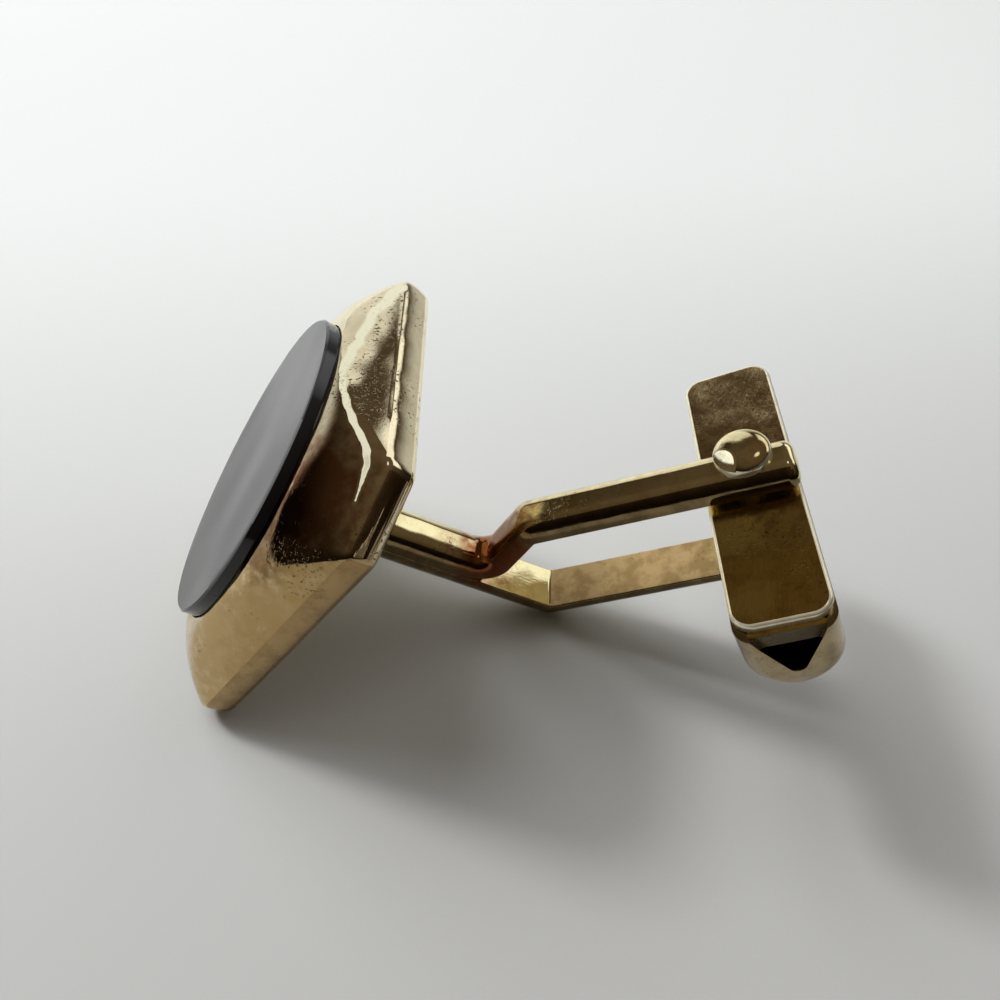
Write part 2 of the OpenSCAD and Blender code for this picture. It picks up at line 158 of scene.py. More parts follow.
class Shape:
    """A mesh in the making, in millimetres in the frame of its sub-assembly."""

    def __init__(self) -> None:
        """Starts an empty mesh."""
        self.bm = bmesh.new()

    def loft(self, rings: Sequence[Points], soft: dict[int, float] | None = None) -> None:
        """Skins closed rings of equal count and closes both ends.

        Args:
            rings: Rings in order, each extruded onto the next.
            soft: Width of the rounding of each ring that has one.
        """
        verts = [self.bm.verts.new(point) for point in rings[0]]
        loops = []
        for number, points in enumerate(rings):
            if number:
                made = bmesh.ops.extrude_edge_only(self.bm, edges=loops[-1])["geom"]
                fresh = {item for item in made if isinstance(item, bmesh.types.BMVert)}
                verts = [self._partner(vert, fresh) for vert in verts]
                for vert, point in zip(verts, points):
                    vert.co = point
            loops.append([
                self.bm.edges.get(pair) or self.bm.edges.new(pair)
                for pair in zip(verts, verts[1:] + verts[:1])
            ])
            if number in (0, len(rings) - 1):
                bmesh.ops.contextual_create(self.bm, geom=loops[-1])
        for number, width in (soft or {}).items():
            bmesh.ops.bevel(
                self.bm, geom=loops[number], offset=width, affect="EDGES", segments=4,
                profile=0.5, material=-1, clamp_overlap=True,
            )

    @staticmethod
    def _partner(vert: bmesh.types.BMVert, fresh: set[bmesh.types.BMVert]) -> bmesh.types.BMVert:
        """The new vertex that an old one was extruded to."""
        return next(e.other_vert(vert) for e in vert.link_edges if e.other_vert(vert) in fresh)

    def turn(self, profile: Points, middle: Vector, steps: int, flip: float = 1.0) -> None:
        """Turns a profile a full circle about an upright axis.

        Args:
            profile: Radius and height of each point, both ends on the axis.
            middle: Where the axis stands.
            steps: Parts of the circle.
            flip: -1 to turn it upside down.
        """
        verts = [self.bm.verts.new((middle.x + p.x, middle.y, flip * p.y)) for p in profile]
        edges = [self.bm.edges.new(pair) for pair in zip(verts, verts[1:])]
        bmesh.ops.spin(
            self.bm, geom=verts + edges, cent=(middle.x, middle.y, 0.0), axis=(0, 0, 1),
            angle=math.tau, steps=steps, use_merge=True,
        )

    def finish(self, name: str, place: Matrix) -> bpy.types.Object:
        """Closes the mesh, places it in metres and makes it an object.

        Args:
            name: The piece's name.
            place: The sub-assembly's frame, in metres.

        Returns:
            The new object, at the origin, with its place in its mesh.
        """
        bmesh.ops.remove_doubles(self.bm, verts=self.bm.verts, dist=TINY)
        bmesh.ops.recalc_face_normals(self.bm, faces=self.bm.faces)
        for face in self.bm.faces:
            face.smooth = True
        for edge in self.bm.edges:
            edge.smooth = edge.calc_face_angle(0.0) < SHARP_ANGLE
        self.bm.transform(place @ Matrix.Scale(MM, 4))
        mesh = bpy.data.meshes.new(name)
        self.bm.to_mesh(mesh)
        self.bm.free()
        made = bpy.data.objects.new(name, mesh)
        bpy.context.scene.collection.objects.link(made)
        even = made.modifiers.new("even_normals", "WEIGHTED_NORMAL")
        even.keep_sharp = True
        return made


class Value:
    """A socket that takes part in Python arithmetic."""

    def __init__(self, tree: "Tree", out: bpy.types.NodeSocket) -> None:
        """Wraps one output of a node."""
        self.tree = tree
        self.out = out

    def _math(self, operation: str, *terms: Any) -> "Value":
        """A Math node on the given terms."""
        return self.tree.node("ShaderNodeMath", {"operation": operation}, dict(enumerate(terms)))

    def __add__(self, other: Any) -> "Value":
        """Sum."""
        return self._math("ADD", self, other)

    __radd__ = __add__

    def __mul__(self, other: Any) -> "Value":
        """Product."""
        return self._math("MULTIPLY", self, other)

    __rmul__ = __mul__

    def __sub__(self, other: Any) -> "Value":
        """Difference."""
        return self._math("SUBTRACT", self, other)

    def __rsub__(self, other: Any) -> "Value":
        """Difference from a number."""
        return self._math("SUBTRACT", other, self)

    def power(self, exponent: float) -> "Value":
        """This value to a power."""
        return self._math("POWER", self, exponent)

    def step(self, low: float, high: float) -> "Value":
        """Smooth step over a range of this value.

        Args:
            low: Where the step is 0.
            high: Where it is 1.

        Returns:
            The step.
        """
        return self.tree.node(
            "ShaderNodeMapRange", {"interpolation_type": "SMOOTHSTEP"},
            {"Value": self, "From Min": low, "From Max": high},
        )


class Tree:
    """A node tree with one method that adds any node."""

    def __init__(self, owner: bpy.types.ID) -> None:
        """Empties a node tree and wraps it.

        Args:
            owner: The material or world that the tree belongs to.
        """
        owner.use_nodes = True
        self.tree = owner.node_tree
        self.tree.nodes.clear()

    def node(
        self, kind: str, settings: dict[str, Any] | None = None,
        sockets: dict[Any, Any] | None = None, output: int | str = 0,
    ) -> Value:
        """Adds a node.

        Args:
            kind: The node's type.
            settings: Its settings, with a ramp's stops under "stops".
            sockets: Values or links of its inputs.
            output: The output that is passed on.

        Returns:
            That output.
        """
        made = self.tree.nodes.new(kind)
        for name, value in (settings or {}).items():
            if name == "stops":
                self._set_stops(made.color_ramp, value)
            elif name == "interpolation":
                made.color_ramp.interpolation = value
            else:
                setattr(made, name, value)
        for key, value in (sockets or {}).items():
            if isinstance(value, Value):
                self.tree.links.new(value.out, made.inputs[key])
            else:
                made.inputs[key].default_value = value
        return Value(self, made.outputs[output] if made.outputs else None)

    @staticmethod
    def _set_stops(ramp: bpy.types.ColorRamp, stops: Sequence[tuple[float, Colour]]) -> None:
        """Gives a colour ramp its stops.

        Args:
            ramp: The ramp.
            stops: Place and colour of each stop, in order.
        """
        while len(ramp.elements) > 1:
            ramp.elements.remove(ramp.elements[-1])
        ramp.elements[0].position = stops[0][0]
        ramp.elements[0].color = (*stops[0][1], 1.0)
        for place, colour in stops[1:]:
            ramp.elements.new(place).color = (*colour, 1.0)

    def mix(self, share: Value, first: Value | Colour, second: Value | Colour) -> Value:
        """Mixes two colours.

        Args:
            share: Share of the second colour.
            first: The first colour, linked or plain.
            second: The second colour, linked or plain.

        Returns:
            The mixed colour.
        """
        first, second = (
            value if isinstance(value, Value) else (*value, 1.0) for value in (first, second))
        return self.node(
            "ShaderNodeMix", {"data_type": "RGBA"}, {"Factor": share, 6: first, 7: second}, 2)

    def place(self) -> Value:
        """Place on the object, in metres."""
        return self.node("ShaderNodeTexCoord", output="Object")

    def axes(self, vector: Value, names: str) -> list[Value]:
        """Chosen parts of a vector, such as "XY"."""
        return [
            self.node("ShaderNodeSeparateXYZ", sockets={0: vector}, output=name) for name in names]

    def along(self, middle: Triple, way: Triple) -> Value:
        """Distance from a point along a direction.

        Args:
            middle: The point, in millimetres.
            way: The unit direction.

        Returns:
            The distance, in millimetres.
        """
        reach = self.node("ShaderNodeVectorMath", {"operation": "DOT_PRODUCT"}, {
            0: self.place(), 1: way,
        }, "Value")
        return reach * (1 / MM) - Vector(middle).dot(Vector(way))

    def distance(self, spot: Triple) -> Value:
        """Distance from a point.

        Args:
            spot: The point, in millimetres.

        Returns:
            The distance, in millimetres.
        """
        return self.node("ShaderNodeVectorMath", {"operation": "DISTANCE"}, {
            0: self.place(), 1: Vector(spot) * MM,
        }, "Value") * (1 / MM)

    def lean(self, share: Value, normal: Value, target: Triple) -> Value:
        """Leans a normal towards another.

        Args:
            share: How far it leans, from 0 to 1.
            normal: The surface's normal.
            target: The normal that it leans to.

        Returns:
            The leaning normal.
        """
        mixed = self.node("ShaderNodeMix", {"data_type": "VECTOR"}, {
            "Factor": share, 4: normal, 5: target,
        }, 1)
        return self.node("ShaderNodeVectorMath", {"operation": "NORMALIZE"}, {0: mixed})

    def bump(self, depth: float, height: Value, normal: Value | None = None) -> Value:
        """Normal of a surface with bumps.

        Args:
            depth: Depth of the bumps where the height is 1, in millimetres.
            height: The height.
            normal: The normal below the bumps, if it isn't the mesh's.

        Returns:
            The bumpy normal.
        """
        sockets = {"Strength": 1.0, "Distance": MM * depth, "Height": height}
        if normal is not None:
            sockets["Normal"] = normal
        return self.node("ShaderNodeBump", sockets=sockets)

    def noise(self, per_mm: float, stretch: Triple = (1, 1, 1), turn: Triple = (0, 0, 0),
              detail: float = 3.0, rough: float = 0.55) -> Value:
        """Noise on Object coordinates.

        Args:
            per_mm: Features a millimetre.
            stretch: How the pattern is scaled along each axis.
            turn: How it is turned first, in radians.
            detail: Octaves.
            rough: How strongly the fine octaves show.

        Returns:
            The noise, about 0 to 1.
        """
        place = self.node("ShaderNodeMapping", {"vector_type": "TEXTURE"}, {
            "Vector": self.place(), "Rotation": turn, "Scale": tuple(1.0 / s for s in stretch),
        })
        return self.node("ShaderNodeTexNoise", sockets={
            "Vector": place, "Scale": per_mm / MM, "Detail": detail, "Roughness": rough,
        })


@dataclass(frozen=True)
class Finish:
    """A finish that any piece can wear."""

    name: str

    def shade(self, tree: Tree) -> Value:
        """The finish's shader."""
        raise NotImplementedError

    def material(self) -> bpy.types.Material:
        """A new material with this finish.

        Returns:
            The material.
        """
        made = bpy.data.materials.new(self.name)
        tree = Tree(made)
        tree.node("ShaderNodeOutputMaterial", sockets={"Surface": self.shade(tree)})
        return made


@dataclass(frozen=True)
class TarnishAndPaintedLight:
    """A coloured patch round a point, in millimetres: tarnish, painted shade and painted
    highlights.
    """

    RAGGED_PER_MM = 1.6
    CORE = 0.35

    spot: Triple
    radius: float
    colour: Colour
    strength: float = 0.8

    def share(self, tree: Tree, ragged: Value) -> Value:
        """How much of the stain there is at a point.

        Args:
            tree: The material's nodes.
            ragged: What makes its edge ragged, about 0.

        Returns:
            The share, from 0 to the stain's strength.
        """
        reach = tree.distance(self.spot) + ragged * self.radius
        return (1 - reach.step(self.radius * self.CORE, self.radius)) * self.strength


@dataclass(frozen=True)
class Streak:
    """A polished ripple that runs along a curve on the face.

    The curve gives the place across the face for each place along it, in millimetres
    from `middle`; inside it the surface leans to `normal` and its colour is painted
    paler, a painted highlight along the ripple.
    """

    RAGGED_PER_MM = 5.0
    RAGGED_SHARE = 0.25
    TAPER_RUN = 3.0
    TAPER_SHARE = 0.6
    SOFT_SPAN = (0.5, 1.1)
    START_SPAN = (-0.2, 0.1)
    END_RUN = 0.3
    FRONT_SPAN = (-0.1, 0.1)

    middle: Triple
    along: Triple
    across: Triple
    curve: tuple[tuple[float, float], ...]
    width: float
    normal: Triple

    def share(self, tree: Tree) -> Value:
        """How much of the ripple there is at a point.

        Args:
            tree: The material's nodes.

        Returns:
            The share, from 0 to 1.
        """
        low, high = self.curve[0][0], self.curve[-1][0]
        floor = min(v for _, v in self.curve)
        span = max(v for _, v in self.curve) - floor
        along = tree.along(self.middle, self.along)
        stops = [((u - low) / (high - low), ((v - floor) / span,) * 3) for u, v in self.curve]
        path = tree.node("ShaderNodeValToRGB", {"interpolation": "CARDINAL", "stops": stops}, {
            "Fac": (along - low) * (1 / (high - low)),
        })
        away = tree.along(self.middle, self.across) - (path * span + floor)
        ragged = (tree.noise(self.RAGGED_PER_MM) - 0.5) * self.width * self.RAGGED_SHARE
        taper = (1 - along.step(low, low + self.TAPER_RUN)) * self.width * self.TAPER_SHARE
        size = (away * away).power(0.5) + ragged + taper
        start = along.step(*(low + reach for reach in self.START_SPAN))
        ends = start * (1 - along.step(high - self.END_RUN, high))
        outward = Vector(self.along).cross(Vector(self.across))
        front = tree.along(self.middle, tuple(outward)).step(*self.FRONT_SPAN)
        return (1 - size.step(*(self.width * part for part in self.SOFT_SPAN))) * ends * front


@dataclass(frozen=True)
class Brushing:
    """Strokes along a grain that lean to `normal` and are painted paler: painted reflections."""

    STRETCH = (0.04, 1.0, 1.0)

    per_mm: float
    turn: Triple
    span: Span
    normal: Triple

    def share(self, tree: Tree) -> Value:
        """How much of a stroke there is at a point, from 0 to 1."""
        return tree.noise(self.per_mm, self.STRETCH, self.turn).step(*self.span)


@dataclass(frozen=True)
class Glint:
    """A small round painted highlight, in mm, where the surface also leans to `normal`."""

    CORE = 0.75

    spot: Triple
    radius: float
    normal: Triple

    def share(self, tree: Tree) -> Value:
        """How much of the glint there is at a point, from 0 to 1."""
        return 1 - tree.distance(self.spot).step(self.radius * self.CORE, self.radius)


@dataclass(frozen=True)
class Gold(Finish):
    """Gold plate with wear: mottling, dark specks in patches, scratches and soft waves.

    `gloss` and `dull` are the roughness of clean and of worn metal, `waves` the depth of
    the waves in millimetres, and `dirt` the middle and radius of places with more specks.
    Its patches are tarnish in places and painted shade and painted highlights in others,
    and where the surface leans its colour is painted paler as a highlight.
    """

    SPECK_COLOUR = (0.10, 0.065, 0.03)
    MOTTLE_SPAN = (0.40, 0.64)
    PATCHES_PER_MM = 0.28
    PATCH_SPAN = (0.5, 0.66)
    DIRT_CORE = 0.5
    DIRT_STRENGTH = 1.2
    SPECKS_PER_MM = 6.0
    SPECK_SPAN = (0.58, 0.68)
    SPECK_DEPTH = 0.25
    LINES_PER_MM = 1.1
    LINE_STRETCH = (0.12, 7.0, 7.0)
    LINE_SPAN = (0.45, 0.75)
    FINE_DEPTH = 0.02
    MOTTLE_DULL, SPECK_DULL, LINE_DULL = 0.5, 0.5, 0.4

    bright: Colour = (0.93, 0.82, 0.56)
    brown: Colour = (0.62, 0.44, 0.20)
    mottling: float = 0.35
    mottle_size: float = 0.9
    specks: float = 0.5
    dirt: tuple[tuple[Triple, float], ...] = ()
    gloss: float = 0.04
    dull: float = 0.14
    metal: float = 1.0
    waves: float = 0.12
    wave_size: float = 0.35
    scratches: float = 0.12
    grain_turn: Triple = (0.0, 0.0, 0.0)
    tarnish_and_painted_light: tuple[TarnishAndPaintedLight, ...] = ()
    painted_highlights: tuple[Streak | Brushing | Glint, ...] = ()
    painted_highlight_colour: Colour = (0.97, 0.92, 0.66)

    def shade(self, tree: Tree) -> Value:
        """Metal whose colour, gloss and surface vary as worn plate does.

        Args:
            tree: The material's nodes.

        Returns:
            The shader.
        """
        mottle = tree.noise(self.mottle_size, detail=6.0, rough=0.65).step(*self.MOTTLE_SPAN)
        patches = tree.noise(self.PATCHES_PER_MM).step(*self.PATCH_SPAN)
        for spot, radius in self.dirt:
            clean = tree.distance(spot).step(radius * self.DIRT_CORE, radius)
            patches = patches + (1 - clean) * self.DIRT_STRENGTH
        dots = tree.noise(self.SPECKS_PER_MM, detail=2.0).step(*self.SPECK_SPAN)
        specks = dots * patches * self.specks
        lines = tree.noise(self.LINES_PER_MM, self.LINE_STRETCH, self.grain_turn, 4.0, 0.7)
        colour = tree.mix(mottle * self.mottling, self.bright, self.brown)
        ragged = tree.noise(TarnishAndPaintedLight.RAGGED_PER_MM, detail=4.0) - 0.5
        # Patches of tarnish, and of painted shade and painted highlights.
        for tarnish_and_light in self.tarnish_and_painted_light:
            colour = tree.mix(tarnish_and_light.share(tree, ragged), colour, tarnish_and_light.colour)
        colour = tree.mix(specks, colour, self.SPECK_COLOUR)
        scored = lines.step(*self.LINE_SPAN)
        dull = mottle * self.MOTTLE_DULL + specks * self.SPECK_DULL + scored * self.LINE_DULL
        normal = tree.bump(self.waves, tree.noise(self.wave_size, detail=1.0))
        # Each highlight leans the normal and paints the colour paler: a painted highlight.
        for highlight in self.painted_highlights:
            share = highlight.share(tree)
            normal = tree.lean(share, normal, highlight.normal)
            colour = tree.mix(share, colour, self.painted_highlight_colour)
        fine = lines * self.scratches - specks * self.SPECK_DEPTH
        normal = tree.bump(self.FINE_DEPTH, fine, normal)
        return tree.node("ShaderNodeBsdfPrincipled", sockets={
            "Base Color": colour, "Metallic": self.metal, "Normal": normal,
            "Roughness": self.gloss + dull * (self.dull - self.gloss),
        })


@dataclass(frozen=True)
class Onyx(Finish):
    """Black stone, satin or polished, with a faint clouding that on the front is a painted sheen.
    """

    CLOUDS_PER_MM = 0.16
    CLOUD_STRETCH = (0.6, 1.0, 1.0)
    CLOUD_SPAN = (0.32, 0.68)
    CLOUD_DULL = 0.08
    RUBS_PER_MM = 5.0
    RUB_STRETCH = (1.0, 0.15, 1.0)
    RUB_DEPTH = 0.01

    base: Colour = (0.02, 0.02, 0.022)
    cloud_and_sheen: Colour = (0.03, 0.03, 0.032)
    satin: float = 0.1

    def shade(self, tree: Tree) -> Value:
        """Dark stone whose gloss varies a little.

        Args:
            tree: The material's nodes.

        Returns:
            The shader.
        """
        cloud_and_sheen = tree.noise(self.CLOUDS_PER_MM, self.CLOUD_STRETCH, FACE_GRAIN, 1.0)
        cloud_and_sheen = cloud_and_sheen.step(*self.CLOUD_SPAN)
        rub = tree.noise(self.RUBS_PER_MM, self.RUB_STRETCH, detail=4.0)
        # On the front the paler clouding is a painted sheen.
        return tree.node("ShaderNodeBsdfPrincipled", sockets={
            "Base Color": tree.mix(cloud_and_sheen, self.base, self.cloud_and_sheen),
            "Roughness": self.satin + (cloud_and_sheen - 0.5) * self.CLOUD_DULL,
            "Normal": tree.bump(self.RUB_DEPTH, rub * self.satin),
        })


@dataclass(frozen=True)
class Plain(Finish):
    """Grainy finish of a hidden piece."""

    GRAINS_PER_MM = 3.0
    GRAIN_DULL = 0.2
    GRAIN_DEPTH = 0.02

    light: Colour = (0.6, 0.6, 0.6)
    dark: Colour = (0.4, 0.4, 0.4)
    metal: float = 1.0
    roughness: float = 0.3

    def shade(self, tree: Tree) -> Value:
        """Two tones of one colour with a fine grain.

        Args:
            tree: The material's nodes.

        Returns:
            The shader.
        """
        grain = tree.noise(self.GRAINS_PER_MM, detail=4.0)
        return tree.node("ShaderNodeBsdfPrincipled", sockets={
            "Base Color": tree.mix(grain, self.light, self.dark), "Metallic": self.metal,
            "Roughness": self.roughness + (grain - 0.5) * self.GRAIN_DULL,
            "Normal": tree.bump(self.GRAIN_DEPTH, grain),
        })


@dataclass(frozen=True)
class FaceSizes:
    """Sizes of the stone and of the bezel that holds it, in millimetres."""

    stone_len: float = 16.0
    stone_wid: float = 12.0
    stone_thick: float = 2.0
    stone_proud: float = 0.75
    stone_dish: float = 0.15
    stone_bevel: float = 0.12
    stone_gap: float = 0.06
    face_len: float = 25.1
    face_wid: float = 19.8
    face_flat: float = 4.35
    rear_flat: float = 4.3
    rise_end: float = 2.4
    rise_side: float = 2.55
    facet_swell: float = 0.45
    band_h: float = 0.5
    skirt_h: float = 1.05
    skirt_draw: float = 0.15
    land_w: float = 0.12
    tip_r: float = 1.1
    corner_r: float = 0.9
    rear_r: float = 1.2
    back_t: float = 0.5
    lip_h: float = 0.2
    plate_inset: float = 0.6
    edge_soft: float = 0.22
    rear_soft: float = 0.45
    collar_d: float = 4.4
    collar_h: float = 0.7

    @property
    def stone_top(self) -> float:
        """Height of the stone's front."""
        return self.rise_end + self.stone_proud

    @property
    def rear(self) -> float:
        """Height of the rear edge."""
        return -(self.band_h + self.skirt_h)

    @property
    def plate_back(self) -> float:
        """Height of the back plate's outer side."""
        return self.rear + self.lip_h


@dataclass(frozen=True)
class PostSizes:
    """Sizes of the forked post, in millimetres and degrees."""

    bar_w: float = 2.6
    bar_t: float = 1.25
    lower_swell: float = 1.2
    lower_arm_swell: float = 1.06
    arm_chamfer: float = 0.6
    stem_round: float = 1.0
    inner_round: float = 0.1
    chamfer_round: float = 0.8
    fork_gap: float = 6.0
    lower_arm_len: float = 12.6
    upper_arm_len: float = 11.1
    arm_end: float = 2.4
    arm_end_r: float = 0.6
    stem_len: float = 15.5
    stem_angle: float = 52.6
    jog_angle: float = 37.0
    jog_r: float = 1.9
    bend_r: float = 0.2
    face_lean: float = 8.5
    face_shift: float = 1.2
    face_turn: float = 51.6
    into_plate: float = 0.35

    @property
    def arm_in(self) -> float:
        """Height of the arms' inner sides."""
        return self.fork_gap / 2

    @property
    def arm_out(self) -> float:
        """Height of the arms' outer sides."""
        return self.arm_in + self.bar_t

    @property
    def stem_dir(self) -> Vector:
        """Direction up the stem, towards the face."""
        angle = math.radians(self.stem_angle)
        return flat(-math.cos(angle), math.sin(angle))

    @property
    def stem_side(self) -> Vector:
        """Direction across the stem, towards the upper bar."""
        return flat(self.stem_dir.y, -self.stem_dir.x)

    @property
    def lower_corner(self) -> Vector:
        """Inner corner of the lower bend."""
        return flat(-self.lower_arm_len, -self.arm_in)

    @property
    def upper_corner(self) -> Vector:
        """Inner corner of the upper bend."""
        return flat(-self.upper_arm_len, self.arm_in)

    @property
    def face_centre(self) -> Vector:
        """Middle of the face's edge."""
        return self.lower_corner + self.stem_len * self.stem_dir + self.face_shift * self.stem_side

    @property
    def face_normal(self) -> Vector:
        """Direction that the face looks in."""
        angle = math.radians(self.stem_angle + self.face_lean)
        return flat(-math.cos(angle), math.sin(angle))


@dataclass(frozen=True)
class ToggleSizes:
    """Sizes of the toggle and its rivet, in millimetres and degrees."""

    lid_len: float = 16.0
    lid_wid: float = 4.55
    lid_t: float = 0.5
    lid_bevel: float = 0.22
    lid_r: float = 1.0
    side_play: float = 0.35
    trough_over: float = 0.55
    trough_side: float = 0.03
    trough_wall: float = 0.4
    trough_far_over: float = 0.25
    trough_r: float = 1.0
    trough_end_round: float = 0.35
    tab_t: float = 0.3
    tab_h: float = 1.0
    tab_inset: float = 0.3
    notch_w: float = 3.3
    notch_floor: float = 0.95
    notch_r: float = 0.4
    toggle_turn: float = 2.5
    rivet_d: float = 1.5
    head_d: float = 2.8
    head_h: float = 0.8
    head_shift: float = 0.4


class Places:
    """Frames of the sub-assemblies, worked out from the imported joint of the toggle."""

    def __init__(self, joint: dict[str, Any], post: PostSizes, toggle: ToggleSizes) -> None:
        """Reads the joint.

        Args:
            joint: The record's joint of the toggle.
            post: Sizes of the post.
            toggle: Sizes of the toggle.
        """
        axis = Vector(joint["axis"]).normalized()
        pitch, roll = math.asin(-axis.x), math.atan2(-axis.y, axis.z)
        self.fork = (
            Matrix.Translation(Vector(joint["pos_m"]))
            @ Matrix.Rotation(roll, 4, "X") @ Matrix.Rotation(-pitch, 4, "Y")
        )
        centre = post.face_centre * MM
        lean = math.radians(post.stem_angle + post.face_lean - 90)
        self.face = (
            self.fork @ Matrix.Translation((centre.x, 0.0, centre.y))
            @ Matrix.Rotation(lean, 4, "Y")
            @ Matrix.Rotation(math.radians(post.face_turn), 4, "Z")
        )
        self.toggle = self.fork @ Matrix.Rotation(math.radians(toggle.toggle_turn), 4, "Z")


FACE_PLACE = Places(frame["joints"][0], PostSizes(), ToggleSizes()).face
FACE_CENTRE = tuple(FACE_PLACE.translation / MM)
FACE_ALONG, FACE_ACROSS = (tuple(FACE_PLACE.to_3x3().col[i]) for i in range(2))
FACE_GRAIN = tuple(FACE_PLACE.to_euler())

# Ways out of the band behind the near upper facet and of the side behind the low facet.
# Faces that look along them wear darker copies of the face's gold: painted shade.
BAND_OUT = Vector((0.41, -0.67, 0.62)).normalized()
LOW_SIDE_OUT = Vector((0.215, -0.976, -0.042)).normalized()

# Spots of the colour patches (tarnish, painted shade and painted highlights), of dirt and
# of painted glints are places on the link at rest, in millimetres.
FACE_GOLD = Gold("face_gold", specks=0.9, mottling=0.2, dirt=(
    ((-7.43, 3.64, 15.80), 1.3), ((-7.50, -0.93, 15.84), 2.4), ((-7.83, 0.17, 15.87), 2.2),
), tarnish_and_painted_light=(
    # These brown and dark patches paint the shade and dark reflections of the low facet, the near
    # band and the face's middle, over some real tarnish.
    TarnishAndPaintedLight((-12.0, -10.0, 6.0), 8.5, (0.52, 0.35, 0.15), 0.9),
    TarnishAndPaintedLight((-9.0, -9.5, 5.0), 5.0, (0.40, 0.25, 0.10), 0.8),
    TarnishAndPaintedLight((-9.6, -8.6, 9.0), 4.5, (0.46, 0.31, 0.13), 0.8),
    TarnishAndPaintedLight((-9.4, -5.6, 14.0), 3.8, (0.36, 0.16, 0.07), 0.9),
    TarnishAndPaintedLight((-11.23, -6.74, 11.45), 2.0, (0.16, 0.08, 0.03), 0.85),
    TarnishAndPaintedLight((-10.56, -5.82, 12.70), 2.0, (0.14, 0.07, 0.03), 0.85),
    TarnishAndPaintedLight((-9.07, 3.71, 15.72), 2.2, (0.50, 0.42, 0.24), 0.35),
    TarnishAndPaintedLight((-8.63, -8.41, 11.26), 2.4, (0.44, 0.30, 0.12), 0.8),
    TarnishAndPaintedLight((-7.23, -8.26, 12.22), 2.2, (0.40, 0.27, 0.11), 0.8),
), grain_turn=FACE_GRAIN, painted_highlights=(
    # The streak is a painted highlight along the crest of the near upper facet.
    Streak(FACE_CENTRE, FACE_ALONG, FACE_ACROSS, (
        (0.1, -9.45), (1.3, -9.3), (1.9, -9.15), (2.55, -8.7), (3.1, -7.95), (3.7, -7.15),
        (4.4, -6.25), (5.2, -5.35), (6.5, -4.32), (7.4, -3.6), (8.85, -2.45), (10.3, -1.55),
        (11.8, -0.72),
    ), 0.26, (-0.151, 0.176, 0.973)),
))
# A darker copy of the face's gold: painted shade on the band, with painted reflections.
BAND_SHADED_GOLD = Gold(
    "band_painted_shade", bright=(0.62, 0.46, 0.26), brown=(0.25, 0.16, 0.06), mottling=0.5, specks=0.3,
    gloss=0.06, dull=0.2, waves=0.05, grain_turn=FACE_GRAIN, painted_highlight_colour=(0.66, 0.50, 0.30),
    painted_highlights=(Brushing(2.4, FACE_GRAIN, (0.46, 0.56), (0.543, 0.203, 0.815)),),
)
# A darker copy of the face's gold paints the shade on the side behind the low facet.
SIDE_SHADED_GOLD = Gold(
    "side_painted_shade", bright=(0.40, 0.27, 0.12), brown=(0.22, 0.14, 0.06), mottling=0.5, gloss=0.1,
    dull=0.25, waves=0.05, scratches=1.0, grain_turn=FACE_GRAIN,
)
POST_GOLD = Gold(
    "post_gold", bright=(0.92, 0.82, 0.48), mottling=0.4, specks=0.9, tarnish_and_painted_light=(
        TarnishAndPaintedLight((-0.2, -0.3, 5.2), 3.4, (0.30, 0.10, 0.03), 0.97),
        TarnishAndPaintedLight((0.19, -1.07, 6.90), 3.0, (0.20, 0.09, 0.03), 0.95),
    ))
# The glint paints a pale highlight crescent on the dome.
RIVET_GOLD = Gold("rivet_gold", bright=(0.92, 0.82, 0.48), mottling=0.7, specks=0.9, painted_highlights=(
    Glint((9.1, -0.75, 13.95), 0.95, (0.005, 0.057, 0.998)),
))
# A darker copy of the post's gold: painted shade on the bars' near sides.
POST_SHADED_SIDE = Gold(
    "post_shaded_side", bright=(0.26, 0.19, 0.09), brown=(0.12, 0.08, 0.04), mottling=0.6, specks=0.6,
    gloss=0.08, dull=0.25, tarnish_and_painted_light=(TarnishAndPaintedLight((-0.2, -0.3, 5.2), 3.8, (0.20, 0.06, 0.02), 0.95),),
)
ARM_SATIN = Gold(
    "arm_satin", bright=(0.56, 0.40, 0.19), brown=(0.36, 0.24, 0.09), mottling=0.8,
    gloss=0.45, dull=0.65, specks=0.5, waves=0.03, scratches=0.5, metal=0.45,
)
TOGGLE_GOLD = Gold(
    "toggle_gold", bright=(0.90, 0.72, 0.40), brown=(0.36, 0.22, 0.09), mottling=0.85,
    mottle_size=1.6, specks=0.8, gloss=0.08, dull=0.25, waves=0.08, scratches=0.8,
    grain_turn=(0.0, 0.0, 1.3), tarnish_and_painted_light=(
        TarnishAndPaintedLight((12.5, -6.0, 10.0), 7.5, (0.66, 0.46, 0.07), 0.75),
        TarnishAndPaintedLight((13.6, -4.6, 9.6), 2.6, (0.34, 0.16, 0.03), 0.7),
        # These two pale yellow patches are painted highlights on the near half of the lid.
        TarnishAndPaintedLight((10.12, -3.04, 12.01), 1.9, (0.95, 0.78, 0.25), 0.8),
        TarnishAndPaintedLight((10.25, -7.09, 11.77), 1.5, (0.90, 0.72, 0.24), 0.7),
    ))
TROUGH_GOLD = Gold(
    "trough_gold", bright=(0.44, 0.35, 0.20), brown=(0.28, 0.20, 0.10), mottling=0.6, gloss=0.12,
    dull=0.25, waves=0.05,
)
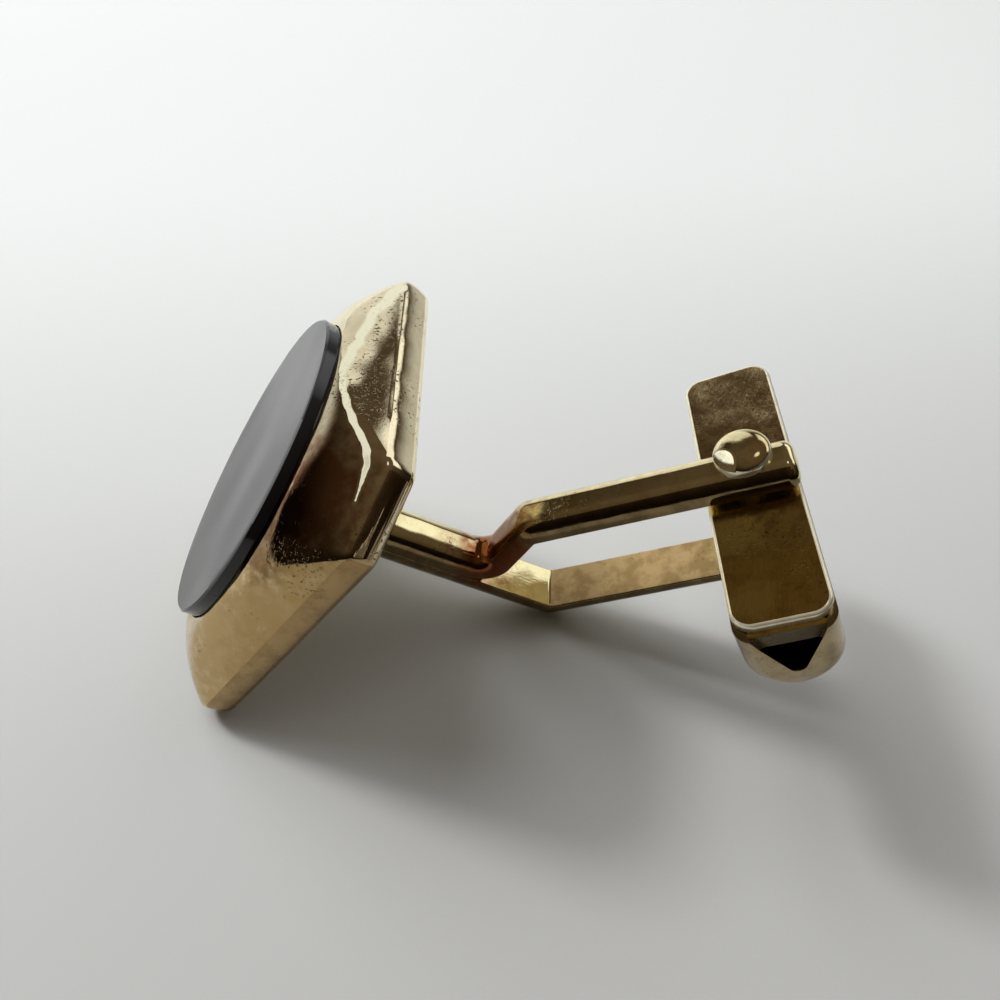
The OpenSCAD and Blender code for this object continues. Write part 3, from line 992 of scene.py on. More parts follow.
# The tabs' near-black colour paints the shade inside the notches.
TAB_PAINTED_SHADE = Gold(
    "tab_painted_shade", bright=(0.10, 0.075, 0.03), brown=(0.05, 0.035, 0.015), mottling=0.8, gloss=0.2,
    dull=0.4,
)
RIM_GOLD = Gold(
    "rim_gold", bright=(0.95, 0.88, 0.66), brown=(0.6, 0.5, 0.32), specks=0.4, waves=0.02,
    gloss=0.12, metal=0.6,
)
BACK_GOLD = Gold("back_gold", mottling=0.3, specks=0.3, gloss=0.25, dull=0.45)
# The front's paler clouding paints a soft sheen across the stone.
STONE_FRONT = Onyx("onyx_front", base=(0.05, 0.05, 0.051), cloud_and_sheen=(0.17, 0.17, 0.173), satin=0.38)
STONE_SIDE = Onyx("onyx_side", satin=0.06)
CEMENT = Plain("set_cement", (0.5, 0.49, 0.45), (0.4, 0.39, 0.36), 0.0, 0.8)
STEEL = Plain("spring_steel", (0.65, 0.66, 0.67), (0.5, 0.5, 0.52), 1.0, 0.25)
BRAZE = Plain("brown_braze", (0.30, 0.17, 0.08), (0.14, 0.08, 0.04), 1.0, 0.35)


def dress(piece: bpy.types.Object, finishes: Sequence[Finish]) -> None:
    """Gives a piece its materials.

    Args:
        piece: The piece.
        finishes: Its finishes, in the order of its material numbers.
    """
    if piece.data.materials:
        piece.data.materials.clear()
    for finish in finishes:
        piece.data.materials.append(finish.material())


def settle(piece: bpy.types.Object, body: Body, slot: Slot, finishes: Sequence[Finish],
           *nodes: str) -> bpy.types.Object:
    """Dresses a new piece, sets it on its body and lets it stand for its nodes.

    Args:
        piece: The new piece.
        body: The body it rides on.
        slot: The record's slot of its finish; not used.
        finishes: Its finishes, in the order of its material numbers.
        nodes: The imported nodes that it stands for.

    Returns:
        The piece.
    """
    dress(piece, finishes)
    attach(piece, body.value)
    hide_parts(*nodes)
    log.info("%s: %d faces on %s", piece.name, len(piece.data.polygons), body.value)
    return piece


class Face:
    """The bezel and the stone in it.

    TURN is a sixth of the oval in degrees, and the shares of it are what the roundings of
    the six corners take up. A match is the least cosine between a face's normal and the
    way out that its finish belongs to.
    """

    TURN = 60.0
    TIP_SHARE = 0.25
    NEAR_SHARE = 0.06
    FAR_SHARE = 0.42
    ARC_STEPS = 14
    SIDE_RUNS = 20
    SWELL_STEPS = 24
    DISH_STEPS = 14
    BAND_MATCH = 0.985
    SIDE_MATCH = 0.9
    BELOW_EDGE = -0.05
    FRONT_MATCH = 0.9

    def __init__(self, sizes: FaceSizes, place: Matrix) -> None:
        """Keeps the sizes and the face's frame."""
        self.sizes = sizes
        self.place = place

    def corners(self, inset: float, side_flat: float) -> Points:
        """Six corners of the face.

        Args:
            inset: How far the outline is drawn in.
            side_flat: Length of the two short sides.

        Returns:
            The corners in order.
        """
        s = self.sizes
        side = math.atan2(s.face_wid, s.face_len - s.face_flat)
        tip = s.face_len / 2 - inset / math.sin(side)
        half = s.face_wid / 2 - inset
        short = side_flat / 2 - inset * math.tan(side / 2)
        upper = [flat(tip, 0), flat(short, half), flat(-short, half)]
        return upper + [-corner for corner in upper]

    def edge_ring(self, inset: float, side_flat: float, side_r: float, z: float) -> Points:
        """Six-sided ring with rounded corners.

        Args:
            inset: How far the outline is drawn in.
            side_flat: Length of the two short sides.
            side_r: Rounding at the ends of the short sides.
            z: The ring's height.

        Returns:
            The ring.
        """
        radii = [self.sizes.tip_r, side_r, side_r] * 2
        steps = [self.ARC_STEPS] * 6
        return at_height(rounded(self.corners(inset, side_flat), radii, steps, self.SIDE_RUNS), z)

    def oval_turns(self) -> list[float]:
        """Where each point of the edge's ring goes on the oval.

        Returns:
            The turn of each point on the oval, in radians.
        """
        tip, near, far = self.TIP_SHARE, self.NEAR_SHARE, self.FAR_SHARE
        spans = [(-tip, tip), (-far, near), (-near, far)] * 2
        turns: list[float] = []
        for i, (first, last) in enumerate(spans):
            steps, runs = self.ARC_STEPS, self.SIDE_RUNS
            turns += [i + first + (last - first) * j / steps for j in range(steps + 1)]
            after = i + 1 + spans[(i + 1) % len(spans)][0]
            turns += [i + last + (after - i - last) * j / runs for j in range(1, runs)]
        return [math.radians(self.TURN * turn) for turn in turns]

    def oval(self, grow: float) -> Points:
        """Plane oval of the stone's outline.

        Args:
            grow: How much larger it is all round.

        Returns:
            The oval.
        """
        s = self.sizes
        a, b = s.stone_len / 2 + grow, s.stone_wid / 2 + grow
        return [flat(a * math.cos(t), b * math.sin(t)) for t in self.oval_turns()]

    def seat_ring(self, grow: float) -> Points:
        """Oval ring at the wavy height of the seat's rim.

        Args:
            grow: How much larger than the stone it is all round.

        Returns:
            The ring.
        """
        s = self.sizes
        heights = [
            s.rise_end + (s.rise_side - s.rise_end) * math.sin(t) ** 2 for t in self.oval_turns()
        ]
        return [Vector((p.x, p.y, z)) for p, z in zip(self.oval(grow), heights)]

    def facet_ring(self, share: float) -> Points:
        """Ring on the swelling facets.

        Args:
            share: Share of the way from the face's edge up to the seat.

        Returns:
            The ring.
        """
        s = self.sizes
        foot = self.edge_ring(0.0, s.face_flat, s.corner_r, 0.0)
        swell = Vector((0, 0, 4 * s.facet_swell * share * (1 - share)))
        rim = self.seat_ring(s.stone_gap + s.land_w)
        return [low.lerp(high, share) + swell for low, high in zip(foot, rim)]

    def bezel(self) -> bpy.types.Object:
        """The stamped bezel with its six swelling facets.

        Returns:
            The piece.
        """
        s = self.sizes
        plate_front = s.plate_back + s.back_t
        seat_floor = s.stone_top - s.stone_thick
        inner = (s.plate_inset, s.rear_flat, s.rear_r)
        rings = [
            self.edge_ring(*inner, plate_front),
            self.edge_ring(*inner, s.rear),
            self.edge_ring(s.skirt_draw, s.rear_flat, s.rear_r, s.rear),
            self.edge_ring(0.0, s.face_flat, s.corner_r, -s.band_h),
            *[self.facet_ring(k / self.SWELL_STEPS) for k in range(self.SWELL_STEPS + 1)],
            self.seat_ring(s.stone_gap),
            at_height(self.oval(s.stone_gap), seat_floor),
        ]
        shape = Shape()
        shape.loft(rings, {2: s.rear_soft, 3: s.edge_soft, 4: s.edge_soft})
        piece = shape.finish("bezel_shell", self.place)
        inside = self.place.inverted()
        # The band and the low side wear darker copies of the gold: painted shade.
        for face in piece.data.polygons:
            below = (inside @ face.center).z < self.BELOW_EDGE * MM
            if face.normal.dot(BAND_OUT) > self.BAND_MATCH:
                face.material_index = 1
            elif below and face.normal.dot(LOW_SIDE_OUT) > self.SIDE_MATCH:
                face.material_index = 2
        return settle(piece, Body.POST, Slot.BEZEL, [FACE_GOLD, BAND_SHADED_GOLD, SIDE_SHADED_GOLD], "bezel")

    def dish(self, point: Vector) -> float:
        """Height of the dished front at a point."""
        s = self.sizes
        return s.stone_top - s.stone_dish * (1 - point.length_squared / (s.stone_len / 2) ** 2)

    def stone(self) -> bpy.types.Object:
        """The oval stone, polished at its side and satin on its front.

        Returns:
            The piece.
        """
        s = self.sizes
        foot = s.stone_top - s.stone_thick
        side_top = s.stone_top - s.stone_bevel
        rings = [at_height(self.oval(0.0), foot), at_height(self.oval(0.0), side_top)]
        front = self.oval(-s.stone_bevel)
        for k in range(self.DISH_STEPS):
            ring = [p * (1 - k / self.DISH_STEPS) for p in front]
            rings.append([Vector((p.x, p.y, self.dish(p))) for p in ring])
        shape = Shape()
        shape.loft(rings)
        piece = shape.finish("oval_stone", self.place)
        out = self.place.to_3x3() @ Vector((0, 0, 1))
        for face in piece.data.polygons:
            face.material_index = int(face.normal.dot(out) <= self.FRONT_MATCH)
        return settle(piece, Body.POST, Slot.STONE, [STONE_FRONT, STONE_SIDE], "stone")


@dataclass
class Station:
    """A place on a bar's path where its cross-section stands.

    `spot` and `outward` are in the plane of the fork; `arm` is 0 for the stem's
    section and 1 for the arm's; `width` and `height` scale the section, and `lift`
    raises its flat side, in millimetres.
    """

    spot: Vector
    outward: Vector
    arm: float = 0.0
    width: float = 1.0
    height: float = 1.0
    lift: float = 0.0


class ForkedPost:
    """The two bars, their collar and the rivet that joins the arms.

    Lengths are in millimetres. A match is the least cosine between a face's normal and
    the way out that its finish belongs to.
    """

    OUTER_STEPS = 9
    BEND_STEPS = 16
    END_STEPS = 8
    UP_MATCH = 0.85
    NEAR_MATCH = 0.6
    CREASE_RUN = 1.5
    CREASE_ROUND = 0.22
    CREASE_ARM = 0.6
    BLADE_RUN = 0.8
    COLLAR_R = 0.35
    HEAD_SINK = 0.03
    HEAD_RIM = 0.1
    DOME_STEPS = 24
    DOME_MATCH = 0.5
    DOME_POWERS = (0.8, 0.9)
    ROUND_STEPS = 64
    SHANK_STEPS = 48

    def __init__(
        self, sizes: PostSizes, face: FaceSizes, toggle: ToggleSizes, places: Places,
    ) -> None:
        """Keeps the sizes and the frames.

        Args:
            sizes: Sizes of the post.
            face: Sizes of the face that it stands on.
            toggle: Sizes of the toggle that it carries.
            places: The frames.
        """
        self.sizes = sizes
        self.face = face
        self.toggle = toggle
        self.places = places

    def section(self, arm: float) -> Points:
        """Cross-section of a bar.

        Args:
            arm: 0 for the stem's rounded section, 1 for the arm's chamfered one.

        Returns:
            Width and outward distance of each point.
        """
        s = self.sizes
        half, steps = s.bar_w / 2, self.OUTER_STEPS
        inner, outer = s.inner_round, s.stem_round
        stem = rounded(
            [flat(-half, 0), flat(half, 0), flat(half, s.bar_t), flat(-half, s.bar_t)],
            [inner, inner, outer, outer], [3, 3, steps, steps],
        )
        cut, soft, part = s.arm_chamfer, s.chamfer_round, steps // 2
        blade = rounded(
            [flat(-half, 0), flat(half, 0), flat(half, s.bar_t - cut), flat(half - cut, s.bar_t),
             flat(cut - half, s.bar_t), flat(-half, s.bar_t - cut)],
            [inner, inner, soft, soft, soft, soft], [3, 3, part, part, part, part],
        )
        return [a.lerp(b, arm) for a, b in zip(stem, blade)]

    def bar(self, name: str, stations: Sequence[Station],
            soft: dict[int, float] | None = None) -> None:
        """Skins a bar through its stations and settles it.

        Args:
            name: The node that the bar stands for.
            stations: Its cross-sections in order.
            soft: Width of the rounding at each station whose crease has one.
        """
        rings = []
        for station in stations:
            ring = []
            for q in self.section(station.arm):
                out = station.lift + q.y * (station.height - station.lift)
                spot = station.spot + station.outward * out
                ring.append(Vector((spot.x, q.x * station.width, spot.y)))
            rings.append(ring)
        shape = Shape()
        shape.loft(rings, soft)
        piece = shape.finish(name + "_drawn", self.places.fork)
        up = self.places.fork.to_3x3() @ Vector((0, 0, 1))
        near = self.places.fork.to_3x3() @ Vector((0, -1, 0))
        # Faces that look to the near side wear a darker copy of the gold: painted shade.
        for face in piece.data.polygons:
            if name == "lower_bar" and face.normal.dot(up) > self.UP_MATCH:
                face.material_index = 1
            elif face.normal.dot(near) > self.NEAR_MATCH:
                face.material_index = 2
        settle(piece, Body.POST, Slot.POST, [POST_GOLD, ARM_SATIN, POST_SHADED_SIDE], name)

    def stem_start(self) -> Vector:
        """Where the stem starts, just inside the back plate.

        Returns:
            The point on the seam of the two bars.
        """
        s = self.sizes
        plate = s.face_centre + self.face.plate_back * s.face_normal
        along = (plate - s.lower_corner).dot(s.face_normal) / s.stem_dir.dot(s.face_normal)
        return s.lower_corner + (along + s.into_plate) * s.stem_dir

    def arm_finish(self, height: float, outward: Vector) -> list[Station]:
        """Stations of an arm's end, whose corners and outer edge are rounded.

        Args:
            height: Height of the arm's inner side.
            outward: Direction from its inner side to its outer side.

        Returns:
            The stations in order.
        """
        s = self.sizes
        made = []
        for i in range(self.END_STEPS + 1):
            turn = math.pi / 2 * i / self.END_STEPS
            x = s.arm_end - s.arm_end_r * (1 - math.sin(turn))
            drop = 1 - math.cos(turn)
            made.append(Station(
                flat(x, height), outward, 1.0, 1 - drop * s.arm_end_r / (s.bar_w / 2),
                1 - drop * s.arm_chamfer / s.bar_t, drop * s.inner_round,
            ))
        return made

    def bend(self, centre: Vector, radius: float, start: float, turn: float, side: float,
             arms: tuple[float, float]) -> list[Station]:
        """Stations round a bend.

        Args:
            centre: Centre of the bend.
            radius: Distance of the bar's flat side from it.
            start: Direction of the first station from the centre, in degrees.
            turn: Degrees from the first station to the last.
            side: 1 if the bar stands outside its flat side, -1 if inside.
            arms: Section at both ends, from 0, stem, to 1, arm.

        Returns:
            The stations in order.
        """
        made = []
        for i in range(self.BEND_STEPS + 1):
            share = i / self.BEND_STEPS
            angle = math.radians(start + turn * share)
            ray = flat(math.cos(angle), math.sin(angle))
            arm = arms[0] + (arms[1] - arms[0]) * share
            made.append(Station(centre + radius * ray, side * ray, arm))
        return made

    def upper_bar(self) -> None:
        """The bar that leaves the stem by a tight bend and turns into the upper arm."""
        s = self.sizes
        jog = math.radians(s.jog_angle)
        jog_dir = flat(math.cos(jog), math.sin(jog))
        gap = s.upper_corner - s.lower_corner
        run = (gap.x * s.stem_dir.y - gap.y * s.stem_dir.x) / (
            jog_dir.x * s.stem_dir.y - jog_dir.y * s.stem_dir.x)
        corner = s.upper_corner - run * jog_dir
        turn = s.stem_angle + s.jog_angle
        tangent = s.jog_r * math.tan(math.radians(turn / 2))
        centre = corner + tangent * s.stem_dir + s.jog_r * s.stem_side
        upper_centre = s.upper_corner + flat(-s.bend_r * math.tan(jog / 2), -s.bend_r)
        arms = (0.0, self.CREASE_ARM)
        self.bar("upper_bar", [
            Station(self.stem_start(), s.stem_side),
            *self.bend(centre, s.jog_r, -90 - s.stem_angle, turn, -1.0, (0.0, 0.0)),
            *self.bend(upper_centre, s.bend_r, 90 + s.jog_angle, -s.jog_angle, 1.0, arms),
            Station(s.upper_corner + flat(self.BLADE_RUN, 0.0), flat(0, 1), 1.0),
            *self.arm_finish(s.arm_in, flat(0, 1)),
        ])

    def lower_bar(self) -> None:
        """The bar that runs straight down the stem and bends once to the lower arm."""
        s = self.sizes
        stem_out, arm_out = -s.stem_side, flat(0, -1)
        mitre = (stem_out + arm_out) / (1 + stem_out.dot(arm_out))
        before = s.lower_corner + self.CREASE_RUN * s.stem_dir
        after = s.lower_corner + flat(self.CREASE_RUN, 0.0)
        self.bar("lower_bar", [
            Station(self.stem_start(), stem_out, height=s.lower_swell),
            Station(before, stem_out, 0.0, height=s.lower_swell),
            Station(s.lower_corner, mitre, self.CREASE_ARM, height=s.lower_arm_swell),
            Station(after, arm_out, 1.0, height=s.lower_arm_swell),
            *self.arm_finish(-s.arm_in, arm_out),
        ], {2: self.CREASE_ROUND})

    def collar(self) -> None:
        """The brazed ring at the foot of the stem."""
        s, f = self.sizes, self.face
        lean, turn = math.radians(s.face_lean), math.radians(s.face_turn)
        along = (f.plate_back - f.collar_h / 2 + s.face_shift * math.sin(lean)) / math.cos(lean)
        across = -s.face_shift * math.cos(lean) - along * math.sin(lean)
        middle = Matrix.Rotation(-turn, 2) @ flat(across, 0.0)
        radius, foot = f.collar_d / 2, f.plate_back - f.collar_h
        outer = flat(radius, f.plate_back)
        rim = corner_arc(flat(radius, foot), flat(0, foot), outer, self.COLLAR_R, self.END_STEPS)
        shape = Shape()
        shape.turn([flat(0, foot), *rim, outer, flat(0, f.plate_back)], middle, self.ROUND_STEPS)
        piece = shape.finish("collar_ring", self.places.face)
        settle(piece, Body.POST, Slot.POST, [BACK_GOLD], "post_collar")

    def rivet(self) -> None:
        """The rivet, whose heads are full domes on a low rim."""
        s, t = self.sizes, self.toggle
        radius, base, rim = t.head_d / 2, s.arm_out - self.HEAD_SINK, s.arm_out + self.HEAD_RIM
        profile = [flat(0, base), flat(radius, base), flat(radius, rim)]
        for i in range(1, self.DOME_STEPS + 1):
            angle = math.pi / 2 * i / self.DOME_STEPS
            out = math.cos(angle) ** self.DOME_POWERS[0]
            rise = math.sin(angle) ** self.DOME_POWERS[1]
            profile.append(flat(radius * out, rim + (t.head_h - self.HEAD_RIM) * rise))
        profile[-1].x = 0.0
        shape = Shape()
        for flip in (1.0, -1.0):
            shape.turn(profile, flat(0, t.head_shift), self.ROUND_STEPS, flip)
        shank = t.rivet_d / 2
        shape.turn([flat(0, -s.arm_out), flat(shank, -s.arm_out), flat(shank, s.arm_out),
                    flat(0, s.arm_out)], flat(0, 0), self.SHANK_STEPS)
        piece = shape.finish("rivet_domed", self.places.fork)
        up = self.places.fork.to_3x3() @ Vector((0, 0, 1))
        for face in piece.data.polygons:
            face.material_index = int(abs(face.normal.dot(up)) < self.DOME_MATCH)
        settle(piece, Body.POST, Slot.POST, [RIVET_GOLD, RIM_GOLD], "pivot_rivet")


class Toggle:
    """The lid and the round-bottomed trough.

    Lengths are in millimetres. FOOT_SHARE is the share of the round bottom's quarter
    turn that the flat foot takes up, and CORNER_LIMIT the most of a ring's half width
    that a corner's radius may be.
    """

    CORNER_STEPS = 10
    RIM_STEPS = 6
    BOTTOM_STEPS = 20
    NOTCH_STEPS = 8
    FOOT_SHARE = 0.12
    CORNER_LIMIT = 0.98
    TAB_R, TAB_STEPS = 0.1, 4
    TAB_COVER = 0.05
    TAB_LAP = 0.02
    TOP_MATCH = 0.97
    CUT_OVER = 1.0
    EDGE_SOFT, EDGE_STEPS = 0.05, 2
    EDGE_ANGLE = math.radians(50)

    def __init__(self, sizes: ToggleSizes, post: PostSizes, place: Matrix) -> None:
        """Keeps the sizes and the toggle's frame.

        Args:
            sizes: Sizes of the toggle.
            post: Sizes of the fork that it turns in.
            place: The toggle's frame, in metres.
        """
        self.sizes = sizes
        self.place = place
        self.top = post.arm_in - sizes.side_play
        self.under = self.top - sizes.lid_t
        self.foot = -self.top

    def plan(self, half_w: float, half_l: float, radius: float, z: float) -> Points:
        """Rectangle with rounded corners.

        Args:
            half_w: Half its width.
            half_l: Half its length.
            radius: Radius of its corners.
            z: Its height.

        Returns:
            The ring.
        """
        corners = [flat(half_w, half_l), flat(-half_w, half_l), flat(-half_w, -half_l),
                   flat(half_w, -half_l)]
        return at_height(rounded(corners, [radius] * 4, [self.CORNER_STEPS] * 4), z)

    def hull_plan(self, half_w: float, half_l: float, radius: float, z: float) -> Points:
        """Plan of the trough, whose far end stands out less.

        Args:
            half_w: Half its width.
            half_l: Distance from its middle to its near end.
            radius: Radius of its corners.
            z: Its height.

        Returns:
            The ring.
        """
        shorter = self.sizes.trough_over - self.sizes.trough_far_over
        points = self.plan(half_w, half_l, radius, z)
        return [p - Vector((0, shorter, 0)) if p.y > 0 else p for p in points]

    def lid(self) -> None:
        """The lid with its softened rim and the tab folded down at each end."""
        s = self.sizes
        rings = [self.plan(s.lid_wid / 2, s.lid_len / 2, s.lid_r, self.under)]
        for i in range(self.RIM_STEPS + 1):
            turn = math.pi / 2 * i / self.RIM_STEPS
            inset = s.lid_bevel * (1 - math.cos(turn))
            z = self.top - s.lid_bevel * (1 - math.sin(turn))
            rings.append(
                self.plan(s.lid_wid / 2 - inset, s.lid_len / 2 - inset, s.lid_r - inset, z))
        shape = Shape()
        shape.loft(rings)
        half = s.notch_w / 2 + self.TAB_COVER
        for side, over in ((-1.0, s.trough_over), (1.0, s.trough_far_over)):
            outer = s.lid_len / 2 + over - s.tab_inset
            corners = [flat(x, side * y) for x, y in (
                (half, outer - s.tab_t), (half, outer), (-half, outer), (-half, outer - s.tab_t))]
            tab = rounded(corners, [self.TAB_R] * 4, [self.TAB_STEPS] * 4)
            heights = (self.under - s.tab_h, self.under + self.TAB_LAP)
            shape.loft([at_height(tab, z) for z in heights])
        piece = shape.finish("lid_plate", self.place)
        inside = self.place.inverted()
        # The tabs below the lid wear a near-black gold: painted shade.
        for face in piece.data.polygons:
            height, up = (inside @ face.center).z / MM, (inside.to_3x3() @ face.normal).z
            if height < self.under + self.TAB_LAP / 2:
                face.material_index = 2
            elif abs(up) < self.TOP_MATCH:
                face.material_index = 1
        finishes = [TOGGLE_GOLD, RIM_GOLD, TAB_PAINTED_SHADE]
        settle(piece, Body.TOGGLE, Slot.TOGGLE, finishes, "toggle_lid")

    def trough_rings(self, inset: float, turns: Sequence[float]) -> list[Points]:
        """Rings of the round-bottomed hull, from its foot up.

        Args:
            inset: How far the hull is drawn in.
            turns: Turn of each ring on the round bottom, in radians.

        Returns:
            The rings.
        """
        s = self.sizes
        radius = s.lid_wid / 2 + s.trough_side - inset
        half_l = s.lid_len / 2 + s.trough_over - inset
        low = self.foot + inset
        made = []
        for turn in turns:
            width = radius * math.sin(turn)
            length = half_l - s.trough_end_round * (1 - math.sin(turn)) ** 2
            corner = min(s.trough_r - inset, width * self.CORNER_LIMIT)
            made.append(self.hull_plan(width, length, corner, low + radius * (1 - math.cos(turn))))
        made.append(self.hull_plan(radius, half_l, s.trough_r - inset, self.under))
        return made

    def trough(self) -> None:
        """The hollow trough with a pointed notch in each end."""
        foot, steps = self.FOOT_SHARE, self.BOTTOM_STEPS
        turns = [math.pi / 2 * (foot + (1 - foot) * i / steps) for i in range(steps + 1)]
        shape = Shape()
        inner = self.trough_rings(self.sizes.trough_wall, turns)
        shape.loft(self.trough_rings(0.0, turns) + inner[::-1])
        piece = shape.finish("trough_hull", self.place)
        piece.modifiers.clear()
        cutter = self.notch_cutter()
        cut = piece.modifiers.new("notch", "BOOLEAN")
        cut.object, cut.solver, cut.operation = cutter, "EXACT", "DIFFERENCE"
        graph = bpy.context.evaluated_depsgraph_get()
        piece.data = bpy.data.meshes.new_from_object(piece.evaluated_get(graph))
        piece.modifiers.clear()
        bpy.data.objects.remove(cutter)
        soft = piece.modifiers.new("soft_edges", "BEVEL")
        soft.width, soft.segments = self.EDGE_SOFT * MM, self.EDGE_STEPS
        soft.limit_method, soft.angle_limit = "ANGLE", self.EDGE_ANGLE
        piece.modifiers.new("even_normals", "WEIGHTED_NORMAL").keep_sharp = True
        settle(piece, Body.TOGGLE, Slot.TOGGLE, [TROUGH_GOLD], "toggle_trough")

    def notch_cutter(self) -> bpy.types.Object:
        """A long wedge that cuts the notch in both ends.

        Returns:
            The wedge.
        """
        s = self.sizes
        half, over = s.notch_w / 2, self.CUT_OVER
        point = flat(0, self.foot + s.notch_floor)
        left, right = flat(-half, self.under), flat(half, self.under)
        outline = [flat(-half, self.under + over), left,
                   *corner_arc(point, left, right, s.notch_r, self.NOTCH_STEPS), right,
                   flat(half, self.under + over)]
        reach = s.lid_len / 2 + s.trough_over + over
        shape = Shape()
        shape.loft([[Vector((p.x, y, p.y)) for p in outline] for y in (-reach, reach)])
        made = shape.finish("notch_wedge", self.place)
        made.modifiers.clear()
        return made


@dataclass(frozen=True)
class Lamp:
    """A round soft lamp that faces the link and isn't mirrored in it.

    Angles are in degrees, azimuth from +Y towards +X; lengths are in metres.
    """

    azimuth: float
    elevation: float
    far: float
    size: float
    watts: float

    def build(self, name: str) -> None:
        """Adds the lamp to the scene.

        Args:
            name: The lamp's name.
        """
        data = bpy.data.lights.new(name, "AREA")
        data.shape, data.size, data.energy = "DISK", self.size, self.watts
        made = bpy.data.objects.new(name, data)
        made.visible_glossy = False
        away = heading(self.azimuth, self.elevation)
        made.location = away * self.far
        made.rotation_mode = "QUATERNION"
        made.rotation_quaternion = away.to_track_quat("Z", "Y")
        bpy.context.scene.collection.objects.link(made)


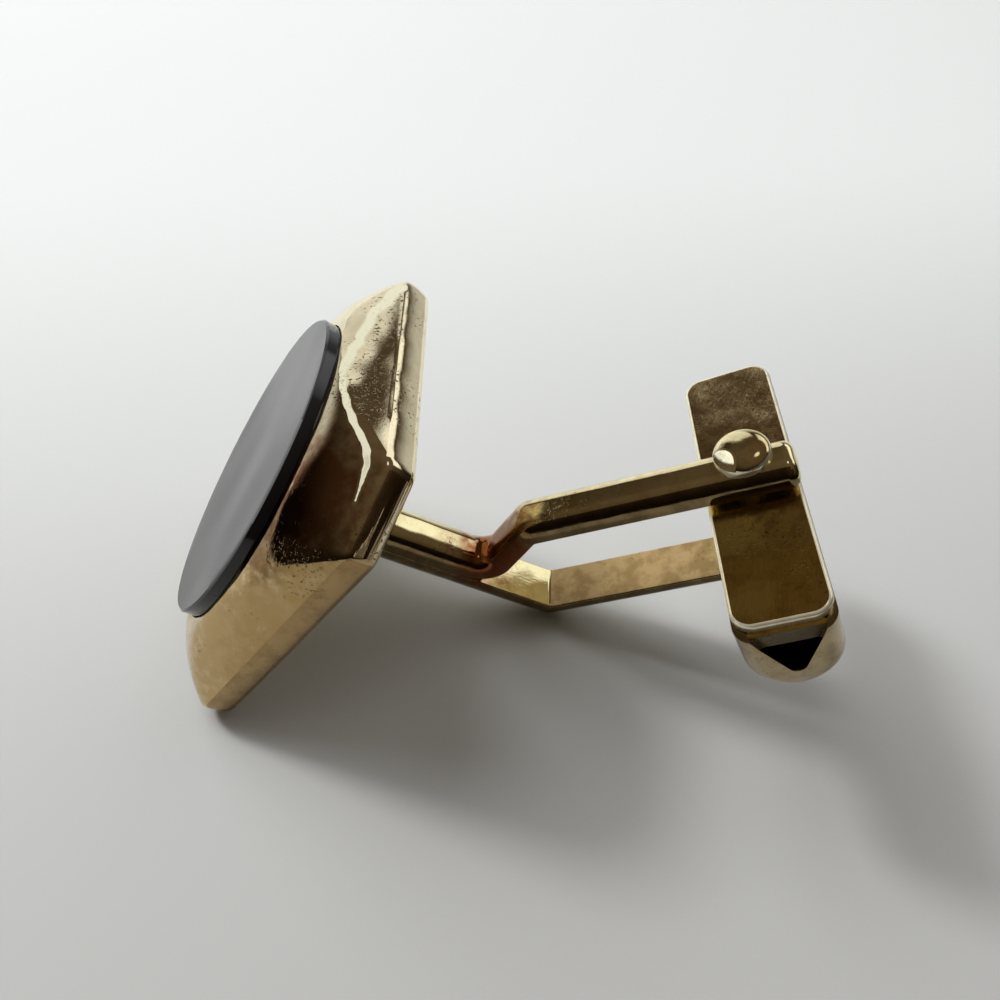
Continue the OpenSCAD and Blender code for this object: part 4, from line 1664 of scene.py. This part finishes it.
@dataclass(frozen=True)
class Studio:
    """The floor, the light and the camera.

    The floor's lengths are in metres and angles in degrees. A span of the room's light
    runs over the sine of the rise, or for a side over the cosine of the turn away.
    """

    floor_half: float = 0.6
    # The floor's tones run from dark near the camera to pale far off: painted light falloff.
    floor_far_lit: Colour = (0.77, 0.80, 0.80)
    floor_near_shaded: Colour = (0.46, 0.465, 0.46)
    floor_way: tuple[float, float] = (-0.38, 0.92)
    floor_span: Span = (-0.030, 0.055)
    floor_gloss: float = 0.6
    key: Lamp = Lamp(-63.0, 40.0, 1.0, 0.2, 5.4)
    soft: Lamp = Lamp(-52.0, 46.0, 1.0, 0.8, 6.4)
    fill: Lamp = Lamp(10.0, 65.0, 1.0, 1.4, 2.8)
    dim: float = 0.014
    ceiling: float = 0.09
    ceiling_span: Span = (0.2, 1.0)
    tint_span: Span = (0.0, 0.3)
    warm: Colour = (1.0, 0.72, 0.45)
    cool: Colour = (0.99, 1.0, 1.0)
    pane_azimuth: float = 44.0
    pane_top: Span = (0.68, 0.76)
    pane_foot: Span = (0.42, 0.50)
    pane_side: Span = (0.78, 0.88)
    wall_azimuth: float = -17.0
    wall_top: Span = (0.58, 0.64)
    wall_side: Span = (0.95, 0.98)
    wall_glow: float = 0.72
    overhead: Span = (0.990, 0.995)
    horizon_azimuth: float = 0.0
    horizon_top: Span = (0.10, 0.44)
    horizon_side: Span = (0.30, 0.50)
    horizon_glow: float = 0.5
    focal_px: float = 857.8
    camera_mm: tuple[float, float, float] = (-4.47, -30.41, 41.02)
    azimuth: float = -6.88
    elevation: float = 46.31
    roll: float = 11.9

    def floor(self) -> None:
        """The pale floor, with light painted into its colour: darker near, paler towards the
        window.
        """
        bm = bmesh.new()
        bmesh.ops.create_grid(bm, x_segments=1, y_segments=1, size=self.floor_half)
        mesh = bpy.data.meshes.new("floor")
        bm.to_mesh(mesh)
        bm.free()
        floor = bpy.data.objects.new("floor", mesh)
        bpy.context.scene.collection.objects.link(floor)
        material = bpy.data.materials.new("floor_painted_light")
        tree = Tree(material)
        x, y = tree.axes(tree.place(), "XY")
        # Painted light: the colour grows paler away from the camera.
        along = x * self.floor_way[0] + y * self.floor_way[1]
        colour = tree.mix(along.step(*self.floor_span), self.floor_near_shaded, self.floor_far_lit)
        tree.node("ShaderNodeOutputMaterial", sockets={"Surface": tree.node(
            "ShaderNodeBsdfPrincipled",
            sockets={"Base Color": colour, "Roughness": self.floor_gloss},
        )})
        floor.data.materials.append(material)

    def world(self) -> None:
        """A dim room with a pale window, wall and horizon and a small light overhead."""
        world = bpy.data.worlds.new("room")
        bpy.context.scene.world = world
        tree = Tree(world)
        ray = tree.node("ShaderNodeTexCoord", output="Generated")
        pane = self.patch(tree, ray, self.pane_azimuth, self.pane_side, self.pane_top)
        wall = self.patch(tree, ray, self.wall_azimuth, self.wall_side, self.wall_top)
        horizon = self.patch(tree, ray, self.horizon_azimuth, self.horizon_side, self.horizon_top)
        rise = tree.axes(ray, "Z")[0]
        pane, wall = pane * rise.step(*self.pane_foot), wall * self.wall_glow
        window = pane + wall - pane * wall + rise.step(*self.overhead)
        glow = window + horizon * self.horizon_glow * (1 - window)
        light = glow + rise.step(*self.ceiling_span) * self.ceiling + self.dim
        colour = tree.mix(glow.step(*self.tint_span), self.warm, self.cool)
        tree.node("ShaderNodeOutputWorld", sockets={"Surface": tree.node(
            "ShaderNodeBackground", sockets={"Color": colour, "Strength": light})})

    def patch(self, tree: Tree, ray: Value, azimuth: float, side: Span, top: Span) -> Value:
        """A pale patch of the room.

        Args:
            tree: The world's nodes.
            ray: Direction that is looked in.
            azimuth: Where the patch's middle is.
            side: Where it starts and is full, to its sides.
            top: Where it starts to end and has ended, upwards.

        Returns:
            How much of the patch there is in that direction, from 0 to 1.
        """
        x, y, z = tree.axes(ray, "XYZ")
        ahead = heading(azimuth, 0.0)
        facing = (x * ahead.x + y * ahead.y) * (x * x + y * y).power(-0.5)
        return facing.step(*side) * (1 - z.step(*top))

    def camera(self) -> None:
        """The camera at the photograph's place."""
        data = bpy.data.cameras.new("camera")
        data.sensor_width = SENSOR_MM
        data.lens = self.focal_px * SENSOR_MM / IMAGE_PX
        data.clip_start, data.clip_end = MM, 10.0
        made = bpy.data.objects.new("camera", data)
        turn = (
            Matrix.Rotation(math.radians(self.azimuth), 4, "Z")
            @ Matrix.Rotation(math.radians(90 - self.elevation), 4, "X")
            @ Matrix.Rotation(math.radians(self.roll), 4, "Z")
        )
        made.matrix_world = Matrix.Translation(Vector(self.camera_mm) * MM) @ turn
        bpy.context.scene.collection.objects.link(made)
        bpy.context.scene.camera = made

    def build(self) -> None:
        """Sets up everything that isn't the link."""
        self.floor()
        self.world()
        self.key.build("window_key")
        self.soft.build("window_soft")
        self.fill.build("room_fill")
        self.camera()
        bpy.context.scene.view_settings.view_transform = "Standard"


def dress_nodes() -> None:
    """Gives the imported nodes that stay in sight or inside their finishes."""
    finishes = {
        "back_plate": BACK_GOLD, "stone_cement": CEMENT, "crotch_braze": BRAZE,
        "click_block": STEEL, "leaf_spring_left": STEEL, "leaf_spring_right": STEEL,
    }
    for name, finish in finishes.items():
        dress(frame["nodes"][name], [finish])
        log.info("%s: dressed as %s", name, finish.name)


def main() -> None:
    """Builds the link's pieces in order and sets the stage."""
    logging.basicConfig(level=logging.INFO, format="%(name)s: %(message)s")
    face_sizes, post_sizes, toggle_sizes = FaceSizes(), PostSizes(), ToggleSizes()
    places = Places(frame["joints"][0], post_sizes, toggle_sizes)
    Studio().build()
    face = Face(face_sizes, places.face)
    face.bezel()
    face.stone()
    post = ForkedPost(post_sizes, face_sizes, toggle_sizes, places)
    post.upper_bar()
    post.lower_bar()
    post.collar()
    post.rivet()
    toggle = Toggle(toggle_sizes, post_sizes, places.toggle)
    toggle.lid()
    toggle.trough()
    dress_nodes()


if __name__ == "__main__":
    main()
